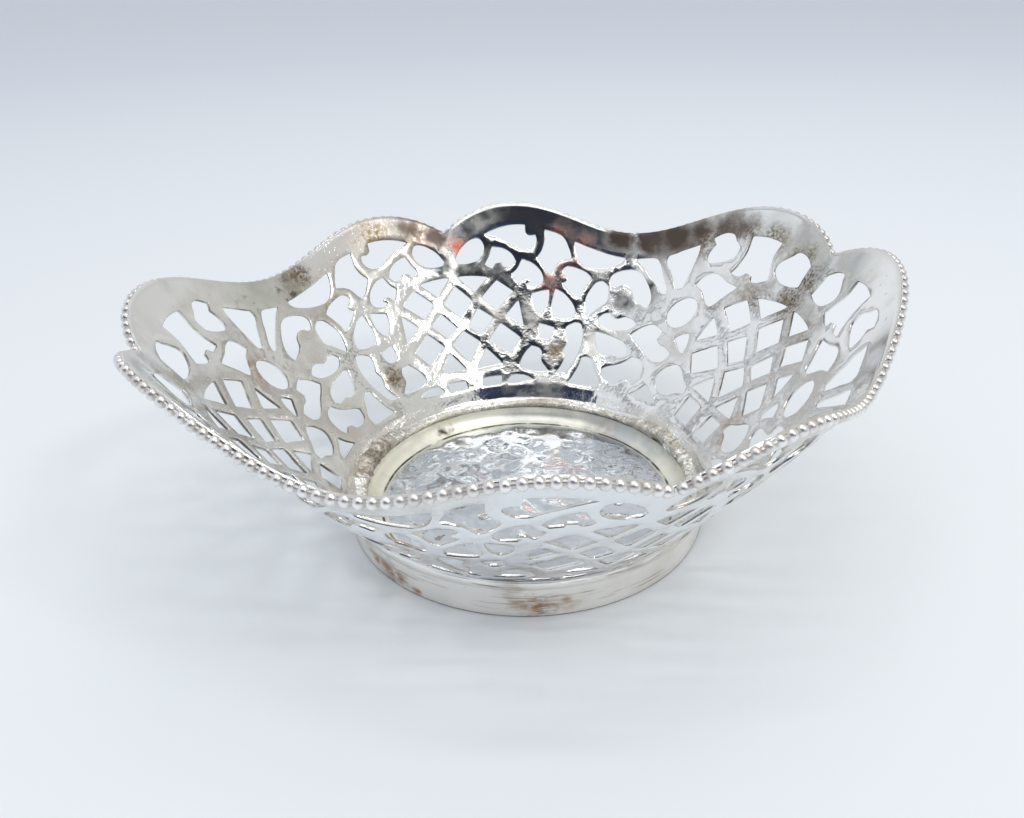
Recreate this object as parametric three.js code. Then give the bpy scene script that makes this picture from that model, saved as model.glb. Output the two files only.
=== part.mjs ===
// A pierced silver bonbon dish: an oval bowl with eight lobes and four notched corners, pierced all over with
// scrolls and lattice shields, a beaded wire along each of its four rims, a let-in base plate and a collar foot.
// Millimetres, +Z up, +X along the long axis. The origin is the middle of the foot, on the surface it stands on.
import * as THREE from 'three';
import { mergeVertices, toCreasedNormals } from 'three/addons/utils/BufferGeometryUtils.js';

// The bowl, measured on its inside face.
const wallBaseRadius = 34.3;
const wallBaseHeight = 8.4;
const sheet = 0.7;
const wallBulge = 1;
const valleyRadius = 58.5;
const crestRadius = 62.2;
const cuspRadius = 59.8;
const valleyHeight = 38;
const crestHeight = 45.8;
const cuspHeight = 40.7;
const endLift = 2.3; // the ends of the long axis rise by this and its sides drop by it
const ovalShare = 0.056; // the rim is longer by this at the ends, and narrower by it at the sides
const radiusCrestShare = 0.75; // how far from a valley to a cusp the rim stands out most
const heightCrestShare = 0.66; // and how far along it is highest

// The plain band and the turned-in seat under the pierced wall.
const bandRun = 1.4;
const bandDrop = 2.5;
const seatRun = 1.5;
const seatDrop = 0.6;

// The base plate, let in under the seat.
const plateSheet = 0.8;
const plateLap = 1.1;
const lapShow = 0.2; // how much of the lap shows inside the seat
const floorLift = 0.6; // from the table to the plate's underside
const floorStep = 0.3;

// The collar foot.
const footSheet = 1;
const footFlare = 1.2; // how much narrower the foot is at the table than at its top
const footCollar = 1.6; // the height of the slightly thicker band round its top
const footCollarStep = 0.15;
const footEdge = 0.25;

// The beaded wires.
const beadRadius = 0.9;
const beadNeckRadius = 0.6;
const beadRise = 0.3; // how far the middles of the beads stand above the edge of the rim
const beadsPerWire = 51;
const wireEndShare = 0.003; // each wire stops this short of its cusps, as a share of its run

const clearance = 0.3; // between pieces that touch

// How finely the round shapes are divided.
const baseColumns = 12;
const rimColumns = 20;
const roundSteps = 48;
const coveSteps = 4;
const beadArcSteps = 3;

const quarterTurn = Math.PI / 2;
const circleTurn = 4 * quarterTurn;
const creaseTurn = quarterTurn / 3;

// The rim. A run is 0 in a valley, between two cusps, and 1 at a cusp.
function runAt(angle) {
  const quarters = angle / quarterTurn;
  return Math.abs(1 - 2 * (quarters - Math.floor(quarters)));
}

function lobe(run, crestShare, valley, crest, cusp) {
  if (run < crestShare) return valley + (crest - valley) * (1 - Math.cos((Math.PI * run) / crestShare)) / 2;
  const past = (run - crestShare) / (1 - crestShare);
  return crest - (crest - cusp) * past * past;
}

// Points of a section are flat: x is the distance from the dish's axis and y the height.
function rimPoint(angle) {
  const run = runAt(angle);
  const endwise = Math.cos(2 * angle);
  const radius = lobe(run, radiusCrestShare, valleyRadius, crestRadius, cuspRadius);
  const height = lobe(run, heightCrestShare, valleyHeight, crestHeight, cuspHeight);
  return new THREE.Vector2(radius * (1 + ovalShare * endwise), height + endLift * endwise);
}

const wallBase = new THREE.Vector2(wallBaseRadius, wallBaseHeight);
const bandEnd = new THREE.Vector2(wallBaseRadius - bandRun, wallBaseHeight - bandDrop);
const seatEnd = new THREE.Vector2(bandEnd.x - seatRun, bandEnd.y - seatDrop);

// The direction out of the bowl's metal, square to the line between two points of a section.
function outward(low, high) {
  const along = high.clone().sub(low).normalize();
  return new THREE.Vector2(along.y, -along.x);
}

// A section's points moved out by a thickness, each along the middle direction of its two sides.
function offsetSection(points, thickness) {
  return points.map((point, i) => {
    const after = points[i + 1];
    const first = i > 0 ? outward(points[i - 1], point) : outward(point, after);
    const second = after ? outward(point, after) : first;
    const middle = first.clone().add(second).normalize();
    return point.clone().addScaledVector(middle, thickness / middle.dot(first));
  });
}

function placed(flat, angle) {
  return new THREE.Vector3(flat.x * Math.cos(angle), flat.x * Math.sin(angle), flat.y);
}

// A point of the wall at a share of its height, moved out by a depth from the inside face.
function wallPoint(angle, heightShare, depth) {
  const rim = rimPoint(angle);
  const bulge = wallBulge * 4 * heightShare * (1 - heightShare);
  const flat = wallBase.clone().lerp(rim, heightShare);
  return placed(flat.addScaledVector(outward(wallBase, rim), bulge + depth), angle);
}

// The pierced pattern of one quarter, from the cusp at the side, across 0, to the cusp at the end, across 1.
// Each opening is an outline of points: a share of the quarter, and a share of the wall's height.
const scrollShares = [
  // beside the side cusp
  [[0.016, 0.8], [0.034, 0.84], [0.062, 0.855], [0.086, 0.845], [0.098, 0.8], [0.094, 0.76],
    [0.078, 0.735], [0.05, 0.74], [0.024, 0.77]],
  [[0.108, 0.858], [0.16, 0.872], [0.212, 0.878], [0.213, 0.84], [0.224, 0.822], [0.24, 0.83],
    [0.243, 0.805], [0.232, 0.765], [0.216, 0.748], [0.2, 0.748], [0.168, 0.785], [0.126, 0.838]],
  [[0.122, 0.775], [0.154, 0.748], [0.174, 0.715], [0.184, 0.68], [0.172, 0.653], [0.15, 0.66],
    [0.146, 0.685], [0.126, 0.685], [0.118, 0.662], [0.098, 0.694], [0.112, 0.73]],
  [[0.204, 0.688], [0.23, 0.676], [0.254, 0.645], [0.265, 0.605], [0.262, 0.572], [0.246, 0.553],
    [0.226, 0.545], [0.218, 0.556], [0.23, 0.57], [0.222, 0.588], [0.206, 0.582], [0.195, 0.552],
    [0.186, 0.578], [0.176, 0.612], [0.192, 0.64]],
  // under the first lobe
  [[0.268, 0.872], [0.312, 0.868], [0.334, 0.81], [0.343, 0.765], [0.325, 0.745], [0.308, 0.715],
    [0.296, 0.67], [0.286, 0.638], [0.272, 0.655], [0.248, 0.712], [0.262, 0.755], [0.27, 0.81]],
  [[0.35, 0.862], [0.415, 0.853], [0.486, 0.842], [0.48, 0.812], [0.45, 0.778], [0.415, 0.752],
    [0.386, 0.742], [0.368, 0.762], [0.354, 0.81]],
  [[0.322, 0.678], [0.335, 0.708], [0.362, 0.716], [0.39, 0.706], [0.404, 0.685], [0.394, 0.64],
    [0.384, 0.59], [0.38, 0.545], [0.366, 0.552], [0.346, 0.575], [0.325, 0.605], [0.336, 0.622],
    [0.338, 0.645], [0.328, 0.66]],
  [[0.236, 0.505], [0.285, 0.545], [0.284, 0.48], [0.276, 0.43], [0.262, 0.405], [0.248, 0.42],
    [0.238, 0.46]],
  [[0.306, 0.56], [0.332, 0.544], [0.358, 0.505], [0.37, 0.465], [0.37, 0.425], [0.342, 0.402],
    [0.308, 0.398], [0.298, 0.44], [0.302, 0.5]],
  [[0.262, 0.345], [0.308, 0.335], [0.302, 0.285], [0.288, 0.265], [0.262, 0.27]],
  [[0.19, 0.112], [0.207, 0.165], [0.235, 0.215], [0.262, 0.205], [0.27, 0.18], [0.268, 0.145],
    [0.28, 0.115], [0.3, 0.088], [0.262, 0.083], [0.22, 0.088]],
  [[0.352, 0.355], [0.378, 0.392], [0.394, 0.395], [0.406, 0.345], [0.408, 0.27], [0.398, 0.195],
    [0.38, 0.125], [0.36, 0.092], [0.335, 0.085], [0.35, 0.125], [0.36, 0.175], [0.352, 0.22],
    [0.362, 0.27], [0.352, 0.31]],
  // round the trefoil in the middle
  [[0.424, 0.195], [0.44, 0.205], [0.462, 0.18], [0.48, 0.13], [0.5, 0.085], [0.5, 0.03],
    [0.385, 0.03], [0.404, 0.08], [0.418, 0.14]],
  [[0.44, 0.68], [0.456, 0.655], [0.462, 0.6], [0.46, 0.555], [0.444, 0.525], [0.424, 0.478],
    [0.412, 0.455], [0.404, 0.5], [0.402, 0.56], [0.412, 0.62], [0.424, 0.665]],
  [[0.462, 0.7], [0.468, 0.735], [0.49, 0.762], [0.52, 0.768], [0.544, 0.742], [0.562, 0.695],
    [0.58, 0.64], [0.594, 0.575], [0.59, 0.53], [0.575, 0.548], [0.556, 0.57], [0.54, 0.6],
    [0.53, 0.645], [0.514, 0.675], [0.496, 0.678], [0.484, 0.662], [0.47, 0.662]],
  [[0.45, 0.45], [0.462, 0.48], [0.48, 0.492], [0.494, 0.465], [0.512, 0.46], [0.53, 0.475],
    [0.556, 0.462], [0.575, 0.43], [0.56, 0.402], [0.52, 0.394], [0.484, 0.398], [0.46, 0.42]],
  [[0.522, 0.838], [0.566, 0.832], [0.586, 0.79], [0.606, 0.71], [0.628, 0.635], [0.633, 0.6],
    [0.618, 0.612], [0.594, 0.668], [0.566, 0.735], [0.54, 0.8]],
  [[0.605, 0.832], [0.64, 0.842], [0.676, 0.85], [0.68, 0.8], [0.678, 0.7], [0.674, 0.625],
    [0.658, 0.625], [0.642, 0.675], [0.622, 0.745], [0.604, 0.8]],
  // under the second lobe
  [[0.706, 0.872], [0.728, 0.885], [0.75, 0.872], [0.764, 0.838], [0.78, 0.805], [0.778, 0.76],
    [0.756, 0.742], [0.726, 0.738], [0.712, 0.758], [0.71, 0.8], [0.718, 0.835]],
  [[0.8, 0.862], [0.836, 0.866], [0.874, 0.864], [0.872, 0.8], [0.884, 0.74], [0.892, 0.71],
    [0.868, 0.678], [0.852, 0.672], [0.846, 0.698], [0.828, 0.704], [0.816, 0.682], [0.79, 0.69],
    [0.8, 0.73], [0.805, 0.79]],
  [[0.896, 0.79], [0.908, 0.825], [0.918, 0.85], [0.926, 0.875], [0.952, 0.888], [0.972, 0.882],
    [0.973, 0.835], [0.976, 0.79], [0.955, 0.755], [0.925, 0.735], [0.905, 0.745], [0.895, 0.765]],
  [[0.71, 0.634], [0.72, 0.665], [0.74, 0.682], [0.768, 0.668], [0.79, 0.645], [0.826, 0.628],
    [0.814, 0.6], [0.798, 0.562], [0.786, 0.532], [0.772, 0.53], [0.756, 0.555], [0.734, 0.602]],
  [[0.572, 0.37], [0.596, 0.405], [0.63, 0.425], [0.658, 0.4], [0.672, 0.382], [0.664, 0.345],
    [0.68, 0.315], [0.706, 0.3], [0.732, 0.275], [0.72, 0.238], [0.69, 0.228], [0.655, 0.25],
    [0.622, 0.295], [0.592, 0.335]],
  [[0.724, 0.355], [0.742, 0.375], [0.762, 0.382], [0.772, 0.34], [0.774, 0.29], [0.758, 0.298],
    [0.742, 0.325]],
  [[0.45, 0.368], [0.476, 0.363], [0.512, 0.348], [0.548, 0.326], [0.572, 0.285], [0.578, 0.25],
    [0.563, 0.232], [0.545, 0.238], [0.524, 0.244], [0.506, 0.23], [0.488, 0.238], [0.47, 0.268],
    [0.458, 0.315]],
  [[0.508, 0.145], [0.524, 0.165], [0.556, 0.182], [0.584, 0.205], [0.606, 0.238], [0.64, 0.22],
    [0.66, 0.175], [0.658, 0.12], [0.64, 0.09], [0.616, 0.112], [0.596, 0.108], [0.584, 0.082],
    [0.548, 0.08], [0.518, 0.1]],
  [[0.726, 0.165], [0.745, 0.208], [0.775, 0.23], [0.803, 0.215], [0.832, 0.18], [0.86, 0.158],
    [0.864, 0.13], [0.835, 0.12], [0.815, 0.1], [0.79, 0.09], [0.758, 0.102], [0.736, 0.13]],
  // the low row, just over the foot
  [[0.655, 0.035], [0.68, 0.065], [0.7, 0.106], [0.728, 0.082], [0.76, 0.058], [0.775, 0.035]],
  [[0.892, 0.035], [0.896, 0.13], [0.965, 0.13], [0.968, 0.035]],
  [[0.034, 0.016], [0.036, 0.062], [0.112, 0.06], [0.108, 0.016]],
  [[0.135, 0.022], [0.155, 0.058], [0.2, 0.056], [0.24, 0.035], [0.16, 0.018]],
];
const roundMiddleShares = [0.706, 0.487];
const roundSizeShares = [0.042, 0.078];
const roundPoints = 12;

// The lattice shield under each cusp: cells beside its middle line, and cells across it given by one half.
const latticeTopShare = 0.7;
const endLatticeHeightShare = 0.92; // the shields at the ends are this much of the height of those at the sides
const latticeCellShares = [
  [[0.014, 0.7], [0.1, 0.618], [0.058, 0.563]],
  [[0.078, 0.515], [0.128, 0.585], [0.174, 0.515], [0.118, 0.43]],
  [[0.02, 0.385], [0.06, 0.46], [0.103, 0.385], [0.06, 0.315]],
  [[0.15, 0.39], [0.19, 0.46], [0.205, 0.33]],
  [[0.082, 0.265], [0.128, 0.345], [0.192, 0.262], [0.155, 0.18]],
  [[0.022, 0.13], [0.068, 0.225], [0.118, 0.13]],
];
const middleCellShares = [
  [[0, 0.665], [0.045, 0.525], [0, 0.46]],
  [[0, 0.375], [0.05, 0.275], [0, 0.175]],
];

function roundOutline() {
  return Array.from({ length: roundPoints }, (_, i) => {
    const turn = (circleTurn * i) / roundPoints;
    return [
      roundMiddleShares[0] + roundSizeShares[0] * Math.cos(turn),
      roundMiddleShares[1] + roundSizeShares[1] * Math.sin(turn),
    ];
  });
}

function endCell(cell) {
  return cell.map(([across, height]) => [
    1 - across,
    latticeTopShare - (latticeTopShare - height) * endLatticeHeightShare,
  ]);
}

function evenRow(columns, heightShare) {
  return Array.from({ length: columns + 1 }, (_, i) => [i / columns, heightShare]);
}

// The wall of one quarter laid flat, as the fan a cone unrolls to.
const wallRun = new THREE.Vector2(crestRadius, crestHeight).sub(wallBase);
const fanSpread = wallRun.x / wallRun.length();

function laidFlat([across, height]) {
  const radius = wallBaseRadius / fanSpread + height * wallRun.length();
  const turn = across * quarterTurn * fanSpread;
  return new THREE.Vector2(radius * Math.sin(turn), radius * Math.cos(turn));
}

// A net of triangles between the edges of one quarter and its openings. The middle cells of the two shields
// are cut in half by its sides.
function quarterNet() {
  const edge = [
    ...evenRow(baseColumns, 0),
    ...middleCellShares.map(endCell).flat().reverse(),
    ...evenRow(rimColumns, 1).reverse(),
    ...middleCellShares.flat(),
  ];
  const openings = [
    ...scrollShares,
    roundOutline(),
    ...latticeCellShares,
    ...latticeCellShares.map(endCell),
  ];
  const shares = [edge, ...openings].flat();
  const points = shares.map(laidFlat);
  const triangles = THREE.ShapeUtils.triangulateShape(
    edge.map(laidFlat),
    openings.map((outline) => outline.map(laidFlat)),
  );
  for (const triangle of triangles) {
    if (twiceArea(...triangle.map((i) => points[i])) < 0) triangle.reverse();
  }
  makeRounder(points, triangles);
  return { shares, triangles };
}

function twiceArea(a, b, c) {
  return b.clone().sub(a).cross(c.clone().sub(a));
}

function cornerTurn(corner, a, b) {
  return a.clone().sub(corner).angleTo(b.clone().sub(corner));
}

function sideOwners(triangles) {
  const owners = new Map();
  triangles.forEach((triangle, t) => {
    triangle.forEach((from, k) => owners.set(`${from} ${triangle[(k + 1) % 3]}`, [t, k]));
  });
  return owners;
}

// Swaps the side two triangles share for the other diagonal wherever that makes them rounder.
function makeRounder(points, triangles) {
  let swaps = 1;
  while (swaps > 0) {
    swaps = 0;
    const owners = sideOwners(triangles);
    const changed = new Set();
    for (const [side, [t, k]] of owners) {
      const [from, to] = side.split(' ').map(Number);
      const twin = owners.get(`${to} ${from}`);
      if (!twin || changed.has(t) || changed.has(twin[0])) continue;
      const near = triangles[t][(k + 2) % 3];
      const far = triangles[twin[0]][(twin[1] + 2) % 3];
      const [a, b, c, d] = [from, to, near, far].map((i) => points[i]);
      if (cornerTurn(c, a, b) + cornerTurn(d, a, b) <= Math.PI) continue;
      if (twiceArea(a, d, c) <= 0 || twiceArea(d, b, c) <= 0) continue;
      triangles[t] = [from, far, near];
      triangles[twin[0]] = [far, to, near];
      changed.add(t).add(twin[0]);
      swaps += 1;
    }
  }
}

// The points from the inside face to the outside face behind one point of the net. Along the bottom edge they
// go round the band and the seat.
const [seatOuter, bandOuter] = offsetSection([seatEnd, bandEnd, wallBase], sheet);

function throughPoints([across, heightShare], sideX, sideY) {
  const angle = quarterTurn * (1 - across);
  const through = [wallPoint(angle, heightShare, 0), wallPoint(angle, heightShare, sheet)];
  if (heightShare === 0) {
    through.splice(1, 0, ...[bandEnd, seatEnd, seatOuter, bandOuter].map((flat) => placed(flat, angle)));
  }
  return through.map((p) => new THREE.Vector3(p.x * sideX, p.y * sideY, p.z));
}

// All four quarters, mirrored from the one between +Y and +X: both faces, and the metal's edge round every
// opening, along the rim and round the seat.
function piercedBodyGeometry() {
  const { shares, triangles } = quarterNet();
  const owners = sideOwners(triangles);
  const isSeam = (a, b) => a[0] === b[0] && (a[0] === 0 || a[0] === 1);
  const corners = [];
  for (const [sideX, sideY] of [[1, 1], [-1, 1], [-1, -1], [1, -1]]) {
    const through = shares.map((point) => throughPoints(point, sideX, sideY));
    const add = (a, b, c) => corners.push(...(sideX * sideY > 0 ? [a, b, c] : [a, c, b]));
    for (const [a, b, c] of triangles) {
      add(through[a][0], through[b][0], through[c][0]);
      add(through[a].at(-1), through[c].at(-1), through[b].at(-1));
    }
    for (const side of owners.keys()) {
      const [from, to] = side.split(' ').map(Number);
      if (owners.has(`${to} ${from}`) || isSeam(shares[from], shares[to])) continue;
      const onBottom = through[from].length === through[to].length;
      const near = onBottom ? through[from] : [through[from][0], through[from].at(-1)];
      const far = onBottom ? through[to] : [through[to][0], through[to].at(-1)];
      for (let i = 1; i < near.length; i++) {
        add(far[i - 1], near[i - 1], near[i]);
        add(far[i - 1], near[i], far[i]);
      }
    }
  }
  return fromCorners(corners);
}

// Closed bodies from the corners of their triangles.
function fromCorners(corners) {
  const geometry = new THREE.BufferGeometry().setFromPoints(corners);
  return mergeVertices(facingOut(geometry));
}

function facingOut(geometry) {
  const position = geometry.attributes.position;
  const [a, b, c] = [new THREE.Vector3(), new THREE.Vector3(), new THREE.Vector3()];
  let sixVolumes = 0;
  for (let i = 0; i < position.count; i += 3) {
    a.fromBufferAttribute(position, i);
    b.fromBufferAttribute(position, i + 1);
    c.fromBufferAttribute(position, i + 2);
    sixVolumes += a.dot(b.cross(c));
  }
  if (sixVolumes > 0) return geometry;
  for (let i = 0; i < position.count; i += 3) {
    b.fromBufferAttribute(position, i + 1);
    c.fromBufferAttribute(position, i + 2);
    position.setXYZ(i + 1, c.x, c.y, c.z);
    position.setXYZ(i + 2, b.x, b.y, b.z);
  }
  return geometry;
}

// Triangles between one loop of points and the next.
function loopTriangles(near, far) {
  return near.flatMap((point, i) => {
    const next = (i + 1) % near.length;
    return [point, near[next], far[next], point, far[next], far[i]];
  });
}

function ringGeometry(section, steps) {
  const loops = Array.from({ length: steps }, (_, j) => {
    return section.map((flat) => placed(flat, (circleTurn * j) / steps));
  });
  return fromCorners(loops.flatMap((loop, j) => loopTriangles(loop, loops[(j + 1) % steps])));
}

// The base plate: a lap under the wall's seat, a cove and a flat floor. It is turned about the axis.
function plateTop() {
  const lapHeight = seatOuter.y - clearance;
  const coveEnd = floorLift + plateSheet + floorStep;
  const coveSize = lapHeight - coveEnd;
  const coveMiddle = seatEnd.x - lapShow - coveSize;
  const profile = [new THREE.Vector2(seatEnd.x + plateLap, lapHeight)];
  for (let i = 0; i <= coveSteps; i++) {
    const turn = (quarterTurn * i) / coveSteps;
    const radius = coveMiddle + coveSize * Math.cos(turn);
    profile.push(new THREE.Vector2(radius, lapHeight - coveSize * Math.sin(turn)));
  }
  profile.push(new THREE.Vector2(coveMiddle - floorStep, coveEnd - floorStep));
  return profile;
}

function basePlateGeometry() {
  const top = plateTop();
  const floor = top.at(-1);
  const under = offsetSection(top.toReversed(), plateSheet);
  const middle = new THREE.Vector2(0, floor.y);
  const profile = [new THREE.Vector2(0, floor.y - plateSheet), ...under, ...top, middle];
  const geometry = new THREE.LatheGeometry(profile, roundSteps).rotateX(quarterTurn);
  geometry.deleteAttribute('normal');
  geometry.deleteAttribute('uv');
  return mergeVertices(geometry);
}

// The foot: a collar with a bevelled top edge that follows the underside of the band.
function collarFootGeometry() {
  const [bevelLow, bevelHigh] = offsetSection([bandEnd, wallBase], sheet + clearance);
  const bevelAt = (radius) => {
    return THREE.MathUtils.mapLinear(radius, bevelLow.x, bevelHigh.x, bevelLow.y, bevelHigh.y);
  };
  const base = new THREE.Vector2(bevelHigh.x - footFlare, 0);
  const collarLow = base.clone().lerp(bevelHigh, 1 - footCollar / bevelHigh.y);
  const innerTop = bevelHigh.x - footSheet;
  const section = [
    new THREE.Vector2(base.x - footSheet, 0),
    new THREE.Vector2(base.x - footEdge, 0),
    new THREE.Vector2(base.x, footEdge),
    new THREE.Vector2(collarLow.x - footCollarStep, collarLow.y),
    collarLow,
    bevelHigh,
    new THREE.Vector2(innerTop, bevelAt(innerTop)),
  ];
  return ringGeometry(section, roundSteps);
}

// One beaded wire, along the outside of the rim from one cusp to the next. Its back is flat.
function beadedWireGeometry(quarter) {
  const ends = 2 * beadsPerWire;
  const loops = Array.from({ length: ends + 1 }, (_, i) => {
    const share = wireEndShare + (1 - 2 * wireEndShare) * (i / ends);
    const angle = quarterTurn * (quarter + share);
    const radius = i % 2 ? beadRadius : beadNeckRadius;
    const rim = rimPoint(angle);
    const along = rim.clone().sub(wallBase).normalize();
    const across = outward(wallBase, rim);
    const middle = rim.addScaledVector(across, sheet + clearance).addScaledVector(along, beadRise);
    return Array.from({ length: beadArcSteps + 1 }, (__, j) => {
      const turn = quarterTurn * ((2 * j) / beadArcSteps - 1);
      const flat = middle.clone().addScaledVector(across, radius * Math.cos(turn));
      return placed(flat.addScaledVector(along, radius * Math.sin(turn)), angle);
    });
  });
  const corners = loops.slice(1).flatMap((loop, i) => loopTriangles(loops[i], loop));
  const last = loops.at(-1);
  for (let i = 2; i < last.length; i++) {
    corners.push(loops[0][0], loops[0][i], loops[0][i - 1], last[0], last[i - 1], last[i]);
  }
  return fromCorners(corners);
}

const polishedSilver = { color: 0xd9d8d3, roughness: 0.2, metalness: 1 };
const agedSilver = { color: 0xcfc8ae, roughness: 0.35, metalness: 1 };
const footSilver = { color: 0xd2cfc6, roughness: 0.3, metalness: 1 };
const beadSilver = { color: 0xe6e4e0, roughness: 0.15, metalness: 1 };

function piece(name, geometry, finish) {
  const shaded = toCreasedNormals(geometry, creaseTurn);
  const mesh = new THREE.Mesh(shaded, new THREE.MeshStandardMaterial(finish));
  mesh.name = name;
  return mesh;
}

const dish = new THREE.Group();
dish.name = 'bonbon_dish';
dish.add(piece('pierced_body', piercedBodyGeometry(), polishedSilver));
dish.add(piece('base_plate', basePlateGeometry(), agedSilver));
dish.add(piece('collar_foot', collarFootGeometry(), footSilver));
dish.add(piece('beaded_wire_back_right', beadedWireGeometry(0), beadSilver));
dish.add(piece('beaded_wire_back_left', beadedWireGeometry(1), beadSilver));
dish.add(piece('beaded_wire_front_left', beadedWireGeometry(2), beadSilver));
dish.add(piece('beaded_wire_front_right', beadedWireGeometry(3), beadSilver));

export default dish;
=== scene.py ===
# A small oval dish of old silver: pierced scroll and lattice sides with eight lobes and four notches, beads
# along each rim, a let-in base plate with its rough solder line, and a collar foot.
# Sizes are in millimetres here and become metres as each piece is finished.
import math
import bmesh
import bpy
from mathutils import Matrix, Vector, noise
from mathutils.geometry import delaunay_2d_cdt


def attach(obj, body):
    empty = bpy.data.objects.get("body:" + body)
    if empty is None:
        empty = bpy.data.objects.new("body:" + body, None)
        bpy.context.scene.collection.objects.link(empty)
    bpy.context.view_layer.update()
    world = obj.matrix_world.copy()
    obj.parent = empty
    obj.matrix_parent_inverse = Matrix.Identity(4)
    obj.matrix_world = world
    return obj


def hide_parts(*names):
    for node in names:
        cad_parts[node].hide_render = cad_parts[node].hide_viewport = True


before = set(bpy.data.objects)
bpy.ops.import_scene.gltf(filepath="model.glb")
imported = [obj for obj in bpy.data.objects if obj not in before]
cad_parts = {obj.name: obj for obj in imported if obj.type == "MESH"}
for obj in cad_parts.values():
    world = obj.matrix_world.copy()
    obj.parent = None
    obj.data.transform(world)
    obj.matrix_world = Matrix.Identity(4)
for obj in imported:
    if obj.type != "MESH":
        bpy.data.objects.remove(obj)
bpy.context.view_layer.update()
scene = bpy.context.scene
mm = 0.001
quarterTurn = math.pi / 2
noise.seed_set(5)  # or the hand work and the beads would come out a little differently each time
print("frame loaded")

# The bowl's sheet: its inside face, from the bottom of the pierced wall to the rim, and the seat under it.
bowl = {
    "baseRadius": 34.3, "baseHeight": 8.4, "sheet": 0.58, "bulge": 1.0,
    "valleyRadius": 58.5, "crestRadius": 62.2, "cuspRadius": 59.8,
    "valleyHeight": 38.0, "crestHeight": 45.8, "cuspHeight": 40.7,
    "endLift": 2.3, "oval": 0.056, "radiusCrest": 0.75, "heightCrest": 0.66,
    "overRim": 0.1,  # how far the sheet's edge stands over the rim line
    "band": (-1.4, -2.5), "bandSteps": (0.3, 0.6), "seat": (-1.5, -0.6), "seatStep": 0.7,
    "seatRound": 0.5, "roundSteps": 4,
    "gridStep": 1.35, "rowShare": 0.87, "stagger": (0.75, 0.25), "keepClear": 0.62,
    "lowSteps": 44, "rimSteps": 80, "outlineStep": 0.72, "cornerTurn": 55, "cellTurn": 20, "sawnWider": 0.14,
    "weld": 0.002, "slack": 0.01, "edgeBevel": 0.15, "bevelFrom": 62, "crease": 40,
    # hand work: how deep it goes, how wide its waves are and where its noise starts
    "wave": (0.13, 14.0, (7, 3, 5)), "ripple": (0.04, 4.5, (2, 8, 1)), "dent": (0.45, 5.5, (5, 5, 2)),
    "rippleFade": (26, 10, 0.2),  # where it starts to fade, over what height, and what is left
    "dentPlace": (62, -6, 38), "dentReach": 20, "wander": 0.2, "wanderSize": 8.0,
    "evenSeat": 12, "firmRim": 36,
    # dirt and painted shade on the sawn faces, with less of both at the front
    "plainSeat": 0.5, "rimEdge": 0.9, "sawnFacing": 0.5, "front": -15, "frontDirtAndShade": 0.3,
}

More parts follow.
